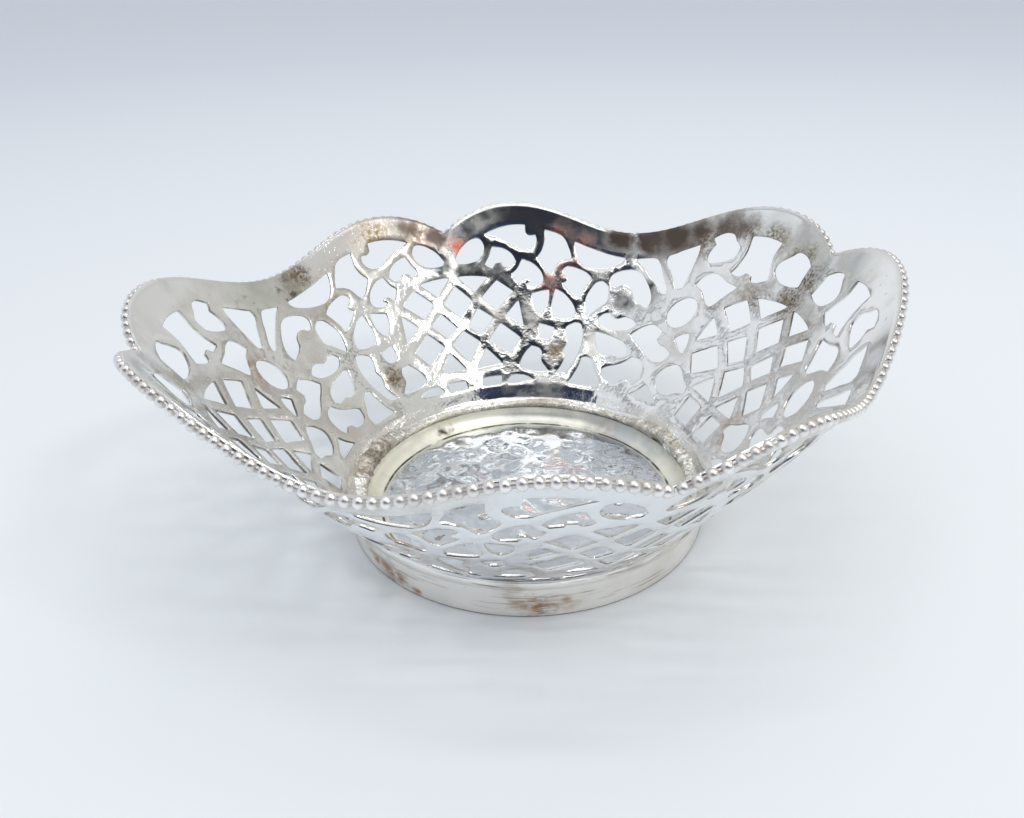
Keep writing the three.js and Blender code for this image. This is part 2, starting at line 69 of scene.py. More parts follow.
# Every opening of one quarter, as shares of the way from the side notch to the end notch and of the wall's
# height.
openings = {
    "scrolls": [
        [(0.016, 0.8), (0.034, 0.84), (0.062, 0.855), (0.086, 0.845), (0.098, 0.8), (0.094, 0.76),
         (0.078, 0.735), (0.05, 0.74), (0.024, 0.77)],
        [(0.108, 0.858), (0.16, 0.872), (0.212, 0.878), (0.213, 0.84), (0.224, 0.822),
         (0.24, 0.83), (0.243, 0.805), (0.232, 0.765), (0.216, 0.748), (0.2, 0.748),
         (0.168, 0.785), (0.126, 0.838)],
        [(0.122, 0.775), (0.154, 0.748), (0.174, 0.715), (0.184, 0.68), (0.172, 0.653),
         (0.15, 0.66), (0.146, 0.685), (0.126, 0.685), (0.118, 0.662), (0.098, 0.694),
         (0.112, 0.73)],
        [(0.204, 0.688), (0.23, 0.676), (0.254, 0.645), (0.265, 0.605), (0.262, 0.572),
         (0.246, 0.553), (0.226, 0.545), (0.218, 0.556), (0.23, 0.57), (0.222, 0.588),
         (0.206, 0.582), (0.195, 0.552), (0.186, 0.578), (0.176, 0.612), (0.192, 0.64)],
        [(0.268, 0.872), (0.312, 0.868), (0.334, 0.81), (0.343, 0.765), (0.325, 0.745),
         (0.308, 0.715), (0.296, 0.67), (0.286, 0.638), (0.272, 0.655), (0.248, 0.712),
         (0.262, 0.755), (0.27, 0.81)],
        [(0.35, 0.862), (0.415, 0.853), (0.486, 0.842), (0.48, 0.812), (0.45, 0.778),
         (0.415, 0.752), (0.386, 0.742), (0.368, 0.762), (0.354, 0.81)],
        [(0.322, 0.678), (0.335, 0.708), (0.362, 0.716), (0.39, 0.706), (0.404, 0.685),
         (0.394, 0.64), (0.384, 0.59), (0.38, 0.545), (0.366, 0.552), (0.346, 0.575),
         (0.325, 0.605), (0.336, 0.622), (0.338, 0.645), (0.328, 0.66)],
        [(0.236, 0.505), (0.285, 0.545), (0.284, 0.48), (0.276, 0.43), (0.262, 0.405),
         (0.248, 0.42), (0.238, 0.46)],
        [(0.306, 0.56), (0.332, 0.544), (0.358, 0.505), (0.37, 0.465), (0.37, 0.425),
         (0.342, 0.402), (0.308, 0.398), (0.298, 0.44), (0.302, 0.5)],
        [(0.262, 0.345), (0.308, 0.335), (0.302, 0.285), (0.288, 0.265), (0.262, 0.27)],
        [(0.19, 0.112), (0.207, 0.165), (0.235, 0.215), (0.262, 0.205), (0.27, 0.18),
         (0.268, 0.145), (0.28, 0.115), (0.3, 0.088), (0.262, 0.083), (0.22, 0.088)],
        [(0.352, 0.355), (0.378, 0.392), (0.394, 0.395), (0.406, 0.345), (0.408, 0.27),
         (0.398, 0.195), (0.38, 0.125), (0.36, 0.092), (0.335, 0.085), (0.35, 0.125),
         (0.36, 0.175), (0.352, 0.22), (0.362, 0.27), (0.352, 0.31)],
        [(0.424, 0.195), (0.44, 0.205), (0.462, 0.18), (0.48, 0.13), (0.5, 0.085), (0.5, 0.03),
         (0.385, 0.03), (0.404, 0.08), (0.418, 0.14)],
        [(0.44, 0.68), (0.456, 0.655), (0.462, 0.6), (0.46, 0.555), (0.444, 0.525), (0.424, 0.478),
         (0.412, 0.455), (0.404, 0.5), (0.402, 0.56), (0.412, 0.62), (0.424, 0.665)],
        [(0.462, 0.7), (0.468, 0.735), (0.49, 0.762), (0.52, 0.768), (0.544, 0.742),
         (0.562, 0.695), (0.58, 0.64), (0.594, 0.575), (0.59, 0.53), (0.575, 0.548), (0.556, 0.57),
         (0.54, 0.6), (0.53, 0.645), (0.514, 0.675), (0.496, 0.678), (0.484, 0.662), (0.47, 0.662)],
        [(0.45, 0.45), (0.462, 0.48), (0.48, 0.492), (0.494, 0.465), (0.512, 0.46), (0.53, 0.475),
         (0.556, 0.462), (0.575, 0.43), (0.56, 0.402), (0.52, 0.394), (0.484, 0.398), (0.46, 0.42)],
        [(0.522, 0.838), (0.566, 0.832), (0.586, 0.79), (0.606, 0.71), (0.628, 0.635),
         (0.633, 0.6), (0.618, 0.612), (0.594, 0.668), (0.566, 0.735), (0.54, 0.8)],
        [(0.605, 0.832), (0.64, 0.842), (0.676, 0.85), (0.68, 0.8), (0.678, 0.7), (0.674, 0.625),
         (0.658, 0.625), (0.642, 0.675), (0.622, 0.745), (0.604, 0.8)],
        [(0.706, 0.872), (0.728, 0.885), (0.75, 0.872), (0.764, 0.838), (0.78, 0.805),
         (0.778, 0.76), (0.756, 0.742), (0.726, 0.738), (0.712, 0.758), (0.71, 0.8),
         (0.718, 0.835)],
        [(0.8, 0.862), (0.836, 0.866), (0.874, 0.864), (0.872, 0.8), (0.884, 0.74), (0.892, 0.71),
         (0.868, 0.678), (0.852, 0.672), (0.846, 0.698), (0.828, 0.704), (0.816, 0.682),
         (0.79, 0.69), (0.8, 0.73), (0.805, 0.79)],
        [(0.896, 0.79), (0.908, 0.825), (0.918, 0.85), (0.926, 0.875), (0.952, 0.888),
         (0.972, 0.882), (0.973, 0.835), (0.976, 0.79), (0.955, 0.755), (0.925, 0.735),
         (0.905, 0.745), (0.895, 0.765)],
        [(0.71, 0.634), (0.72, 0.665), (0.74, 0.682), (0.768, 0.668), (0.79, 0.645),
         (0.826, 0.628), (0.814, 0.6), (0.798, 0.562), (0.786, 0.532), (0.772, 0.53),
         (0.756, 0.555), (0.734, 0.602)],
        [(0.572, 0.37), (0.596, 0.405), (0.63, 0.425), (0.658, 0.4), (0.672, 0.382),
         (0.664, 0.345), (0.68, 0.315), (0.706, 0.3), (0.732, 0.275), (0.72, 0.238), (0.69, 0.228),
         (0.655, 0.25), (0.622, 0.295), (0.592, 0.335)],
        [(0.724, 0.355), (0.742, 0.375), (0.762, 0.382), (0.772, 0.34), (0.774, 0.29),
         (0.758, 0.298), (0.742, 0.325)],
        [(0.45, 0.368), (0.476, 0.363), (0.512, 0.348), (0.548, 0.326), (0.572, 0.285),
         (0.578, 0.25), (0.563, 0.232), (0.545, 0.238), (0.524, 0.244), (0.506, 0.23),
         (0.488, 0.238), (0.47, 0.268), (0.458, 0.315)],
        [(0.508, 0.145), (0.524, 0.165), (0.556, 0.182), (0.584, 0.205), (0.606, 0.238),
         (0.64, 0.22), (0.66, 0.175), (0.658, 0.12), (0.64, 0.09), (0.616, 0.112), (0.596, 0.108),
         (0.584, 0.082), (0.548, 0.08), (0.518, 0.1)],
        [(0.726, 0.165), (0.745, 0.208), (0.775, 0.23), (0.803, 0.215), (0.832, 0.18),
         (0.86, 0.158), (0.864, 0.13), (0.835, 0.12), (0.815, 0.1), (0.79, 0.09), (0.758, 0.102),
         (0.736, 0.13)],
        [(0.655, 0.035), (0.68, 0.065), (0.7, 0.106), (0.728, 0.082), (0.76, 0.058),
         (0.775, 0.035)],
        [(0.892, 0.035), (0.896, 0.13), (0.965, 0.13), (0.968, 0.035)],
        [(0.034, 0.016), (0.036, 0.062), (0.112, 0.06), (0.108, 0.016)],
        [(0.135, 0.022), (0.155, 0.058), (0.2, 0.056), (0.24, 0.035), (0.16, 0.018)],
    ],
    "latticeCells": [
        [(0.014, 0.7), (0.1, 0.618), (0.058, 0.563)],
        [(0.078, 0.515), (0.128, 0.585), (0.174, 0.515), (0.118, 0.43)],
        [(0.02, 0.385), (0.06, 0.46), (0.103, 0.385), (0.06, 0.315)],
        [(0.15, 0.39), (0.19, 0.46), (0.205, 0.33)],
        [(0.082, 0.265), (0.128, 0.345), (0.192, 0.262), (0.155, 0.18)],
        [(0.022, 0.13), (0.068, 0.225), (0.118, 0.13)],
    ],
    "middleCells": [
        [(0, 0.665), (0.045, 0.525), (0, 0.46)],
        [(0, 0.375), (0.05, 0.275), (0, 0.175)],
    ],
    "eyeMiddle": (0.706, 0.487), "eyeSize": (0.042, 0.078), "eyePoints": 16,
    "latticeTop": 0.7, "endLatticeHeight": 0.92,
}


def clamped(value):
    return min(max(value, 0), 1)


def runAt(angle):
    quarters = angle / quarterTurn
    return abs(1 - 2 * (quarters - math.floor(quarters)))


def lobe(run, crestShare, valley, crest, cusp):
    if run < crestShare:
        return valley + (crest - valley) * (1 - math.cos(math.pi * run / crestShare)) / 2
    return crest - (crest - cusp) * ((run - crestShare) / (1 - crestShare)) ** 2


# A section's points are flat: the distance from the dish's axis, and the height.
def rimPoint(angle):
    run, endwise = runAt(angle), math.cos(2 * angle)
    radius = lobe(run, bowl["radiusCrest"], bowl["valleyRadius"], bowl["crestRadius"], bowl["cuspRadius"])
    height = lobe(run, bowl["heightCrest"], bowl["valleyHeight"], bowl["crestHeight"], bowl["cuspHeight"])
    return Vector((radius * (1 + bowl["oval"] * endwise), height + bowl["endLift"] * endwise))


wallBase = Vector((bowl["baseRadius"], bowl["baseHeight"]))


def rimDirections(rim):
    along = (rim - wallBase).normalized()
    return along, Vector((along.y, -along.x))  # up the wall, and out of it


def placed(flat, angle):
    return Vector((flat.x * math.cos(angle), flat.x * math.sin(angle), flat.y))


def wallPoint(across, share):
    angle = quarterTurn * (1 - across)
    rim = rimPoint(angle)
    along, out = rimDirections(rim)
    rim += along * bowl["overRim"]
    return placed(wallBase.lerp(rim, share) + out * (bowl["bulge"] * 4 * share * (1 - share)), angle)


# The wall of a quarter laid flat, as the fan that a cone unrolls to, and back again.
wallRun = Vector((bowl["crestRadius"], bowl["crestHeight"])) - wallBase
fanSpread = wallRun.x / wallRun.length
fanStart = bowl["baseRadius"] / fanSpread


def laidFlat(point):
    radius, turn = fanStart + point[1] * wallRun.length, point[0] * quarterTurn * fanSpread
    return Vector((radius * math.sin(turn), radius * math.cos(turn)))


def snapped(share):
    for end in (0.0, 1.0):
        if abs(share - end) < 1e-5:
            return end
    return share


def fromFlat(flat):
    across = math.atan2(flat.x, flat.y) / (quarterTurn * fanSpread)
    share = (flat.length - fanStart) / wallRun.length
    return snapped(clamped(across)), snapped(share)


# A closed outline drawn through a few points, curved between them and sharp where they turn a corner.
def smoothOutline(points, cornerTurn):
    count = len(points)
    sharp = []
    for i, point in enumerate(points):
        before, after = point - points[i - 1], points[(i + 1) % count] - point
        sharp.append(math.degrees(before.angle(after)) > cornerTurn)
    drawn = []
    for i in range(count):
        a, b, c, d = points[i - 1], points[i], points[(i + 1) % count], points[(i + 2) % count]
        if sharp[i]:
            a = b * 2 - c
        if sharp[(i + 1) % count]:
            d = c * 2 - b
        steps = max(1, round((c - b).length / bowl["outlineStep"]))
        for j in range(steps):
            t = j / steps
            drawn.append(0.5 * (2 * b + (c - a) * t + (2 * a - 5 * b + 4 * c - d) * t * t
                                + (3 * b - a - 3 * c + d) * t ** 3))
    return drawn


# The end lattice is the side one, mirrored and a little lower.
def endCell(cell):
    top, share = openings["latticeTop"], openings["endLatticeHeight"]
    return [(1 - across, top - (top - height) * share) for across, height in cell]


def flatOutlines():
    cells = openings["latticeCells"] + [endCell(cell) for cell in openings["latticeCells"]]
    outlines = []
    for shapes, cornerTurn in ((openings["scrolls"], bowl["cornerTurn"]), (cells, bowl["cellTurn"])):
        outlines += [smoothOutline([laidFlat(p) for p in shape], cornerTurn) for shape in shapes]
    middle, size, count = openings["eyeMiddle"], openings["eyeSize"], openings["eyePoints"]
    turns = [2 * math.pi * i / count for i in range(count)]
    eye = [(middle[0] + size[0] * math.cos(turn), middle[1] + size[1] * math.sin(turn)) for turn in turns]
    outlines.append([laidFlat(p) for p in eye])
    return [widened(outline, bowl["sawnWider"]) for outline in outlines]


def turnsLeft(outline):
    return sum(a.x * b.y - b.x * a.y for a, b in zip(outline, outline[1:] + outline[:1])) > 0


# An outline moved out all round.
def widened(outline, amount):
    side = amount if turnsLeft(outline) else -amount
    moved = []
    for before, point, after in zip(outline[-1:] + outline[:-1], outline, outline[1:] + outline[:1]):
        first, second = (point - before).normalized(), (after - point).normalized()
        out = (Vector((first.y, -first.x)) + Vector((second.y, -second.x))).normalized()
        moved.append(point + out * side)
    return moved


# One straight side of the quarter, with the half cells that it cuts.
def flatSide(halfCells, across):
    points = [(across, 0.0)]
    for cell in sorted(halfCells, key=lambda c: min(p[1] for p in c)):
        points += sorted(cell, key=lambda p: p[1])
    points.append((across, 1.0))
    drawn = []
    for a, b in zip(points, points[1:]):
        start, end = laidFlat(a), laidFlat(b)
        steps = max(1, round((end - start).length / bowl["outlineStep"]))
        drawn += [start.lerp(end, j / steps) for j in range(steps)]
    return drawn + [laidFlat(points[-1])]


def flatEdge():
    lowSteps, rimSteps = bowl["lowSteps"], bowl["rimSteps"]
    low = [laidFlat((i / lowSteps, 0.0)) for i in range(1, lowSteps)]
    high = [laidFlat((i / rimSteps, 1.0)) for i in range(1, rimSteps)]
    near = flatSide(openings["middleCells"], 0.0)
    far = flatSide([endCell(cell) for cell in openings["middleCells"]], 1.0)
    return low + far + high[::-1] + near[::-1]


# Even points over the quarter, in staggered rows, kept clear of the edges.
def fillPoints(outlines):
    cell = bowl["keepClear"]
    taken = {}
    for outline in outlines:
        for p in outline:
            taken.setdefault((round(p.x / cell), round(p.y / cell)), []).append(p)
    points = []
    rows = round(wallRun.length / (bowl["gridStep"] * bowl["rowShare"]))
    for row in range(1, rows):
        share = row / rows
        length = (fanStart + share * wallRun.length) * quarterTurn * fanSpread
        columns = round(length / bowl["gridStep"])
        for column in range(columns):
            p = laidFlat(((column + bowl["stagger"][row % 2]) / columns, share))
            x, y = round(p.x / cell), round(p.y / cell)
            near = [q for i in (-1, 0, 1) for j in (-1, 0, 1) for q in taken.get((x + i, y + j), ())]
            if all((p - q).length > cell for q in near):
                points.append(p)
    return points


# The pierced inside face of one quarter, as a net of even triangles.
def quarterNet(bm):
    edge = flatEdge()
    outlines = flatOutlines()
    points, faces = [], []
    for outline in [edge] + outlines:
        loop = list(range(len(points), len(points) + len(outline)))
        faces.append(loop if turnsLeft(outline) else loop[::-1])
        points += outline
    points += fillPoints([edge] + outlines)
    flats, _, triangles, _, _, owners = delaunay_2d_cdt(points, [], faces, 0, 1e-6, True)
    verts = {}
    for triangle, owner in zip(triangles, owners):
        if list(owner) != [0]:  # inside an opening
            continue
        for i in triangle:
            if i not in verts:
                verts[i] = bm.verts.new(wallPoint(*fromFlat(flats[i])))
        bm.faces.new([verts[i] for i in triangle])


# The edge loop at the bottom of the wall goes down round the band and in along the seat.
def seatSteps():
    band, seat = Vector(bowl["band"]), Vector(bowl["seat"])
    corner, end = wallBase + band, wallBase + band + seat
    steps = [wallBase + band * share for share in bowl["bandSteps"]]
    cut = bowl["seatRound"]
    before, after = corner - band.normalized() * cut, corner + seat.normalized() * cut
    for i in range(bowl["roundSteps"] + 1):
        t = i / bowl["roundSteps"]
        steps.append(before.lerp(corner, t).lerp(corner.lerp(after, t), t))
    return steps + [corner.lerp(end, bowl["seatStep"]), end]


def extrudeSeat(bm):
    def onLowEdge(vert):
        level = abs(vert.co.z - bowl["baseHeight"]) < bowl["slack"]
        return level and vert.co.xy.length < bowl["baseRadius"] + bowl["slack"]

    loop = [e for e in bm.edges if e.is_boundary and all(onLowEdge(v) for v in e.verts)]
    for flat in seatSteps():
        made = bmesh.ops.extrude_edge_only(bm, edges=loop)["geom"]
        loop = [e for e in made if isinstance(e, bmesh.types.BMEdge)]
        for vert in [v for v in made if isinstance(v, bmesh.types.BMVert)]:
            vert.co = placed(flat, math.atan2(vert.co.y, vert.co.x))


def uneven(place, values):
    depth, size, start = values
    return depth * noise.noise(place / size + Vector(start))


# Sawn and hammered by hand: the outlines wander a little and the sheet isn't quite even.
def handWork(bm):
    fadeFrom, fadeRun, fadeLeast = bowl["rippleFade"]
    for vert in bm.verts:
        share = clamped((vert.co.z - bowl["baseHeight"]) / bowl["evenSeat"])
        shift = noise.noise_vector(vert.co / bowl["wanderSize"]) * bowl["wander"] * share
        shift -= vert.normal * shift.dot(vert.normal)
        low = 1 - clamped((vert.co.z - fadeFrom) / fadeRun)
        near = max(0, 1 - (vert.co - Vector(bowl["dentPlace"])).length / bowl["dentReach"])
        swell = uneven(vert.co, bowl["wave"]) + uneven(vert.co, bowl["ripple"]) * (fadeLeast + low)
        swell += uneven(vert.co, bowl["dent"]) * near
        if any(e.is_boundary for e in vert.link_edges) and vert.co.z > bowl["firmRim"]:
            shift *= 0
        vert.co += shift + vert.normal * swell * share


# The sawn faces, which lie across the sheet, hold the dirt that polishing never reaches and are darkened with
# painted shade along the cut edges, less of both in front. The outside is painted brighter and bluer than the
# inside: partly rubbed cleaner, partly a painted reflection of the pale table.
def markFaces(bm):
    bm.normal_update()
    grimeAndShade = bm.faces.layers.float.new("grimeAndShade")
    outside = bm.faces.layers.float.new("outside")
    for face in bm.faces:
        middle = face.calc_center_median()
        angle = math.atan2(middle.y, middle.x)
        rim = rimPoint(angle)
        facing = face.normal.dot(placed(rimDirections(rim)[1], angle))
        onWall = middle.z > bowl["baseHeight"] + bowl["plainSeat"]
        onRim = (Vector((middle.xy.length, middle.z)) - rim).length < bowl["rimEdge"]
        # Sawn faces are darkened: dirt, and painted shade along the cut edges, with less of both at the
        # front.
        if onWall and not onRim and abs(facing) < bowl["sawnFacing"]:
            face[grimeAndShade] = 1.0 if middle.y > bowl["front"] else bowl["frontDirtAndShade"]
        # The outside faces get a brighter, bluer colour: rubbed cleaner, and a painted reflection of the pale
        # table.
        if facing > bowl["sawnFacing"]:
            face[outside] = 1.0


def makePiercedBody():
    bm = bmesh.new()
    quarterNet(bm)
    for axis in ("X", "Y"):
        bmesh.ops.mirror(bm, geom=bm.verts[:] + bm.edges[:] + bm.faces[:], merge_dist=bowl["weld"], axis=axis)
    bmesh.ops.remove_doubles(bm, verts=bm.verts, dist=bowl["weld"])
    extrudeSeat(bm)
    bmesh.ops.recalc_face_normals(bm, faces=bm.faces)
    lowest = min(bm.faces, key=lambda f: f.calc_center_median().z)
    if lowest.normal.z < 0:
        bmesh.ops.reverse_faces(bm, faces=bm.faces)
    bm.normal_update()
    handWork(bm)
    bm.normal_update()
    bmesh.ops.solidify(bm, geom=bm.faces[:], thickness=bowl["sheet"])
    bmesh.ops.recalc_face_normals(bm, faces=bm.faces)
    bm.normal_update()
    bevelFrom = math.radians(bowl["bevelFrom"])
    rims = [e for e in bm.edges if len(e.link_faces) == 2 and e.calc_face_angle(0) > bevelFrom]
    bmesh.ops.bevel(bm, geom=rims, offset=bowl["edgeBevel"], segments=2, profile=0.5, affect="EDGES",
                    clamp_overlap=True, material=-1)
    markFaces(bm)
    finishPiece(bm, "pierced_bowl", "body", ["pierced_body"], bowl["crease"])


def meshObject(bm, name):
    mesh = bpy.data.meshes.new(name)
    bm.to_mesh(mesh)
    bm.free()
    made = bpy.data.objects.new(name, mesh)
    scene.collection.objects.link(made)
    return made, mesh


# One piece from its finished mesh: shaded smooth up to its creases, riding on the dish's only body.
def finishPiece(bm, name, finish, nodes, crease):
    bmesh.ops.scale(bm, vec=(mm, mm, mm), verts=bm.verts)
    piece, mesh = meshObject(bm, name)
    mesh.polygons.foreach_set("use_smooth", [True] * len(mesh.polygons))
    mesh.set_sharp_from_angle(angle=math.radians(crease))
    mesh.materials.append(silverFinish(finish))
    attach(piece, "root")
    if nodes:
        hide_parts(*nodes)
    print(name, len(mesh.polygons), "faces")


beads = {
    "perQuarter": 51, "radius": 0.93, "out": 1.1, "frontOut": 0.9, "rise": -0.3, "endGap": 0.25,
    "fineSteps": 600, "uneven": 0.035, "wander": 0.03, "wobbleScale": 3.7, "turnEach": (1.7, 0.9),
    "wire": 0.5, "wireSides": 8, "wireDirtAndShade": 0.55, "crease": 60,
    # Tarnish and painted shade, darker towards each bead's sides and back, and on the wire between the beads.
    "sideDirtAndShade": (1.5, 0.95), "backDirtAndShade": (1.2, 0.5),  # how fast it thickens, and what part stays clean
}


# The middle of the bead string at an angle, with the directions up and out of the rim there.
def stringFrame(angle):
    rim = rimPoint(angle)
    along, out = rimDirections(rim)
    front = max(0, -math.sin(angle))
    apart = beads["out"] + (beads["frontOut"] - beads["out"]) * front
    return placed(rim + out * apart + along * beads["rise"], angle), placed(along, angle), placed(out, angle)


def evenAngles(quarter, count):
    fine = beads["fineSteps"]
    angles = [quarterTurn * (quarter + i / fine) for i in range(fine + 1)]
    points = [stringFrame(a)[0] for a in angles[1:-1]]
    points = [points[0]] + points + [points[-1]]
    runs = [0.0]
    for a, b in zip(points, points[1:]):
        runs.append(runs[-1] + (b - a).length)
    start, end = beads["endGap"] + beads["radius"], runs[-1] - beads["endGap"] - beads["radius"]
    chosen, k = [], 0
    for i in range(count):
        wanted = start + (end - start) * i / (count - 1)
        while runs[k + 1] < wanted:
            k += 1
        chosen.append(angles[k] + (angles[k + 1] - angles[k]) * (wanted - runs[k]) / (runs[k + 1] - runs[k]))
    return chosen


def dirtAndShadeAt(depth, values):
    return max(0, depth * values[0] - values[1])


# Dirt and painted shade lie between the beads and where they meet the sheet.
def makeBead(bm, i, angle, grimeAndShade):
    middle, along, out = stringFrame(angle)
    side = along.cross(out)
    wobble = noise.noise_vector(middle * beads["wobbleScale"])
    size = Vector((1, 1, 1)) + wobble * beads["uneven"]
    about, over = beads["turnEach"]
    turn = Matrix.Rotation(i * about, 4, "Z") @ Matrix.Rotation(i * over, 4, "X")
    place = Matrix.Translation(middle + wobble * beads["wander"]) @ turn @ Matrix.Diagonal((*size, 1))
    ball = bmesh.ops.create_icosphere(bm, subdivisions=2, radius=beads["radius"], matrix=place)
    for vert in ball["verts"]:
        local = (vert.co - middle) / beads["radius"]
        dirtAndShade = dirtAndShadeAt(abs(local.dot(side)), beads["sideDirtAndShade"]) + dirtAndShadeAt(-local.dot(out), beads["backDirtAndShade"])
        vert[grimeAndShade] = min(1, dirtAndShade)


def makeCoreWire(bm, angles):
    circle = bmesh.ops.create_circle(bm, cap_ends=False, segments=beads["wireSides"], radius=beads["wire"])
    ring = circle["verts"]
    first = []
    for vert in ring:
        first += [e for e in vert.link_edges if e not in first]
    last = first
    spots = [(v, math.atan2(v.co.y, v.co.x)) for v in ring]
    placeRing(spots, angles[0])
    for a, b in zip(angles, angles[1:]):
        for angle in ((a + b) / 2, b):
            made = bmesh.ops.extrude_edge_only(bm, edges=last)["geom"]
            last = [e for e in made if isinstance(e, bmesh.types.BMEdge) and all(v in made for v in e.verts)]
            spots = [(v, nearestTurn(v, spots)) for v in made if isinstance(v, bmesh.types.BMVert)]
            placeRing(spots, angle)
    bmesh.ops.holes_fill(bm, edges=first + last, sides=0)


def nearestTurn(vert, spots):
    return min(spots, key=lambda s: (s[0].co - vert.co).length)[1]


def placeRing(spots, angle):
    middle, along, out = stringFrame(angle)
    for vert, turn in spots:
        vert.co = middle + (along * math.cos(turn) + out * math.sin(turn)) * beads["wire"]


def makeBeadString(quarter, name, node):
    bm = bmesh.new()
    grimeAndShade = bm.verts.layers.float.new("grimeAndShade")
    angles = evenAngles(quarter, beads["perQuarter"])
    for i, angle in enumerate(angles):
        makeBead(bm, i, angle, grimeAndShade)
    makeCoreWire(bm, angles)
    # The core wire, seen only between and behind the beads, is darkened with tarnish and painted shade.
    for vert in bm.verts:
        if not any(len(f.verts) == 3 for f in vert.link_faces):
            vert[grimeAndShade] = beads["wireDirtAndShade"]
    bmesh.ops.recalc_face_normals(bm, faces=bm.faces)
    finishPiece(bm, name, "beads", [node], beads["crease"])


# The base plate: a lap under the seat, a cove and a flat floor that has been hammered and worn.
base = {
    "lapRadius": 32.5, "lapHeight": 4.35, "lapRound": 0.15, "lapShow": 0.25,
    "coveSize": 2.65, "coveRadius": 28.55, "coveSteps": 8,
    "step": [(0.06, 0.04), (0.2, 0.1)],  # in and down from the end of the cove to the floor
    "plate": 0.8, "underRadii": (17.07, 28.75), "underSteps": 4, "floorRings": 44, "turns": 240, "crease": 35,
    "dent": 0.08, "dentSize": 6.0, "fineDent": (0.45, 2.7, (4, 1, 9)),  # its share, how much finer, its start
    "crumple": 0.18, "crumpleSize": 3.3, "calmEdge": 2.4, "evenLap": 0.1, "evenUnder": 0.3,
}


def spun(bm, profile, turns):
    verts = [bm.verts.new((x, 0, z)) for x, z in profile]
    edges = [bm.edges.new(pair) for pair in zip(verts, verts[1:])]
    bmesh.ops.spin(bm, geom=verts + edges, cent=(0, 0, 0), axis=(0, 0, 1), angle=2 * math.pi, steps=turns,
                   use_merge=True, dvec=(0, 0, 0))
    bmesh.ops.remove_doubles(bm, verts=bm.verts, dist=0.001)
    bmesh.ops.recalc_face_normals(bm, faces=bm.faces)


def makeBasePlate():
    size, middle, lap, plate = base["coveSize"], base["coveRadius"], base["lapHeight"], base["plate"]
    top = [(base["lapRadius"] - base["lapRound"], lap), (middle + size + base["lapShow"], lap)]
    for i in range(base["coveSteps"] + 1):
        turn = quarterTurn * i / base["coveSteps"]
        top.append((middle + size * math.cos(turn), lap - size * math.sin(turn)))
    top += [(middle - inward, lap - size - down) for inward, down in base["step"]]
    edge, floor = top[-1]
    top += [(edge * (1 - i / base["floorRings"]), floor) for i in range(1, base["floorRings"] + 1)]
    under = floor - plate
    low = [(radius, under) for radius in (0, *base["underRadii"])]
    for i in range(base["underSteps"] + 1):
        turn = quarterTurn * (1 - i / base["underSteps"])
        low.append((middle + (size + plate) * math.cos(turn), lap - (size + plate) * math.sin(turn)))
    low += [(base["lapRadius"], lap - plate), (base["lapRadius"], lap - base["lapRound"])]
    bm = bmesh.new()
    spun(bm, low + top, base["turns"])
    share, finer, start = base["fineDent"]
    lowest, highest = under + base["evenUnder"], lap - base["evenLap"]
    widest = middle + size - base["evenLap"]
    for vert in bm.verts:
        if lowest < vert.co.z < highest and vert.co.xy.length < widest:
            spot = vert.co / base["dentSize"]
            fine = share * noise.noise(spot * finer + Vector(start))
            vert.co.z += base["dent"] * (noise.noise(spot) + fine)
            level = clamped((middle - vert.co.xy.length) / base["calmEdge"])
            vert.co.z += base["crumple"] * level * noise.noise(vert.co / base["crumpleSize"])
    finishPiece(bm, "base_bowl", "base", ["base_plate"], base["crease"])


# The solder that holds the plate, run unevenly round the edge of the seat and thickest at a few places.
solder = {
    "radius": 32.05, "height": 5.15, "wide": 0.98, "thick": 0.5, "depth": 0.95, "sides": 16, "steps": 420,
    "rough": 0.17, "roughSize": 1.3, "fineRough": (0.6, 0.6), "slowLeast": 1.2, "slowSize": 6,
    "creep": (0.75, 0.35), "outerRise": 1.6, "sunk": 0.5, "crease": 60,
    "floods": [(149, 25, 3.1), (4, 26, 2.2), (60, 14, 0.5), (250, 30, 0.6)],  # angle, half width, and more
}


def makeSolderLine():
    bm = bmesh.new()
    profile = []
    for i in range(solder["sides"]):
        turn = 2 * math.pi * i / solder["sides"]
        tall = solder["thick"] if math.sin(turn) > 0 else solder["depth"]
        profile.append((solder["radius"] + solder["wide"] * math.cos(turn),
                        solder["height"] + tall * math.sin(turn)))
    spun(bm, profile + profile[:1], solder["steps"])
    out, up = solder["creep"]
    fineShare, fineSize = solder["fineRough"]
    for vert in bm.verts:
        outward = Vector((*vert.co.xy.normalized(), 0))
        away = vert.co - outward * solder["radius"] - Vector((0, 0, solder["height"]))
        angle = math.degrees(math.atan2(outward.y, outward.x))
        flood = sum(more * max(0, 1 - (((angle - at + 180) % 360 - 180) / half) ** 2)
                    for at, half, more in solder["floods"])
        lump = noise.noise(vert.co / solder["roughSize"]) + fineShare * noise.noise(vert.co / fineSize)
        slow = solder["slowLeast"] + noise.noise(outward * solder["radius"] / solder["slowSize"])
        outside = away.dot(outward) > 0
        vert.co += away.normalized() * solder["rough"] * lump * slow * (1 + flood)
        if outside:
            vert.co += outward * out * flood
        if away.z > 0:
            vert.co.z += up * flood * (solder["outerRise"] if outside else 1.0)
        vert.co.z = max(vert.co.z, base["lapHeight"] - solder["sunk"])
    finishPiece(bm, "solder_line", "solder", [], solder["crease"])


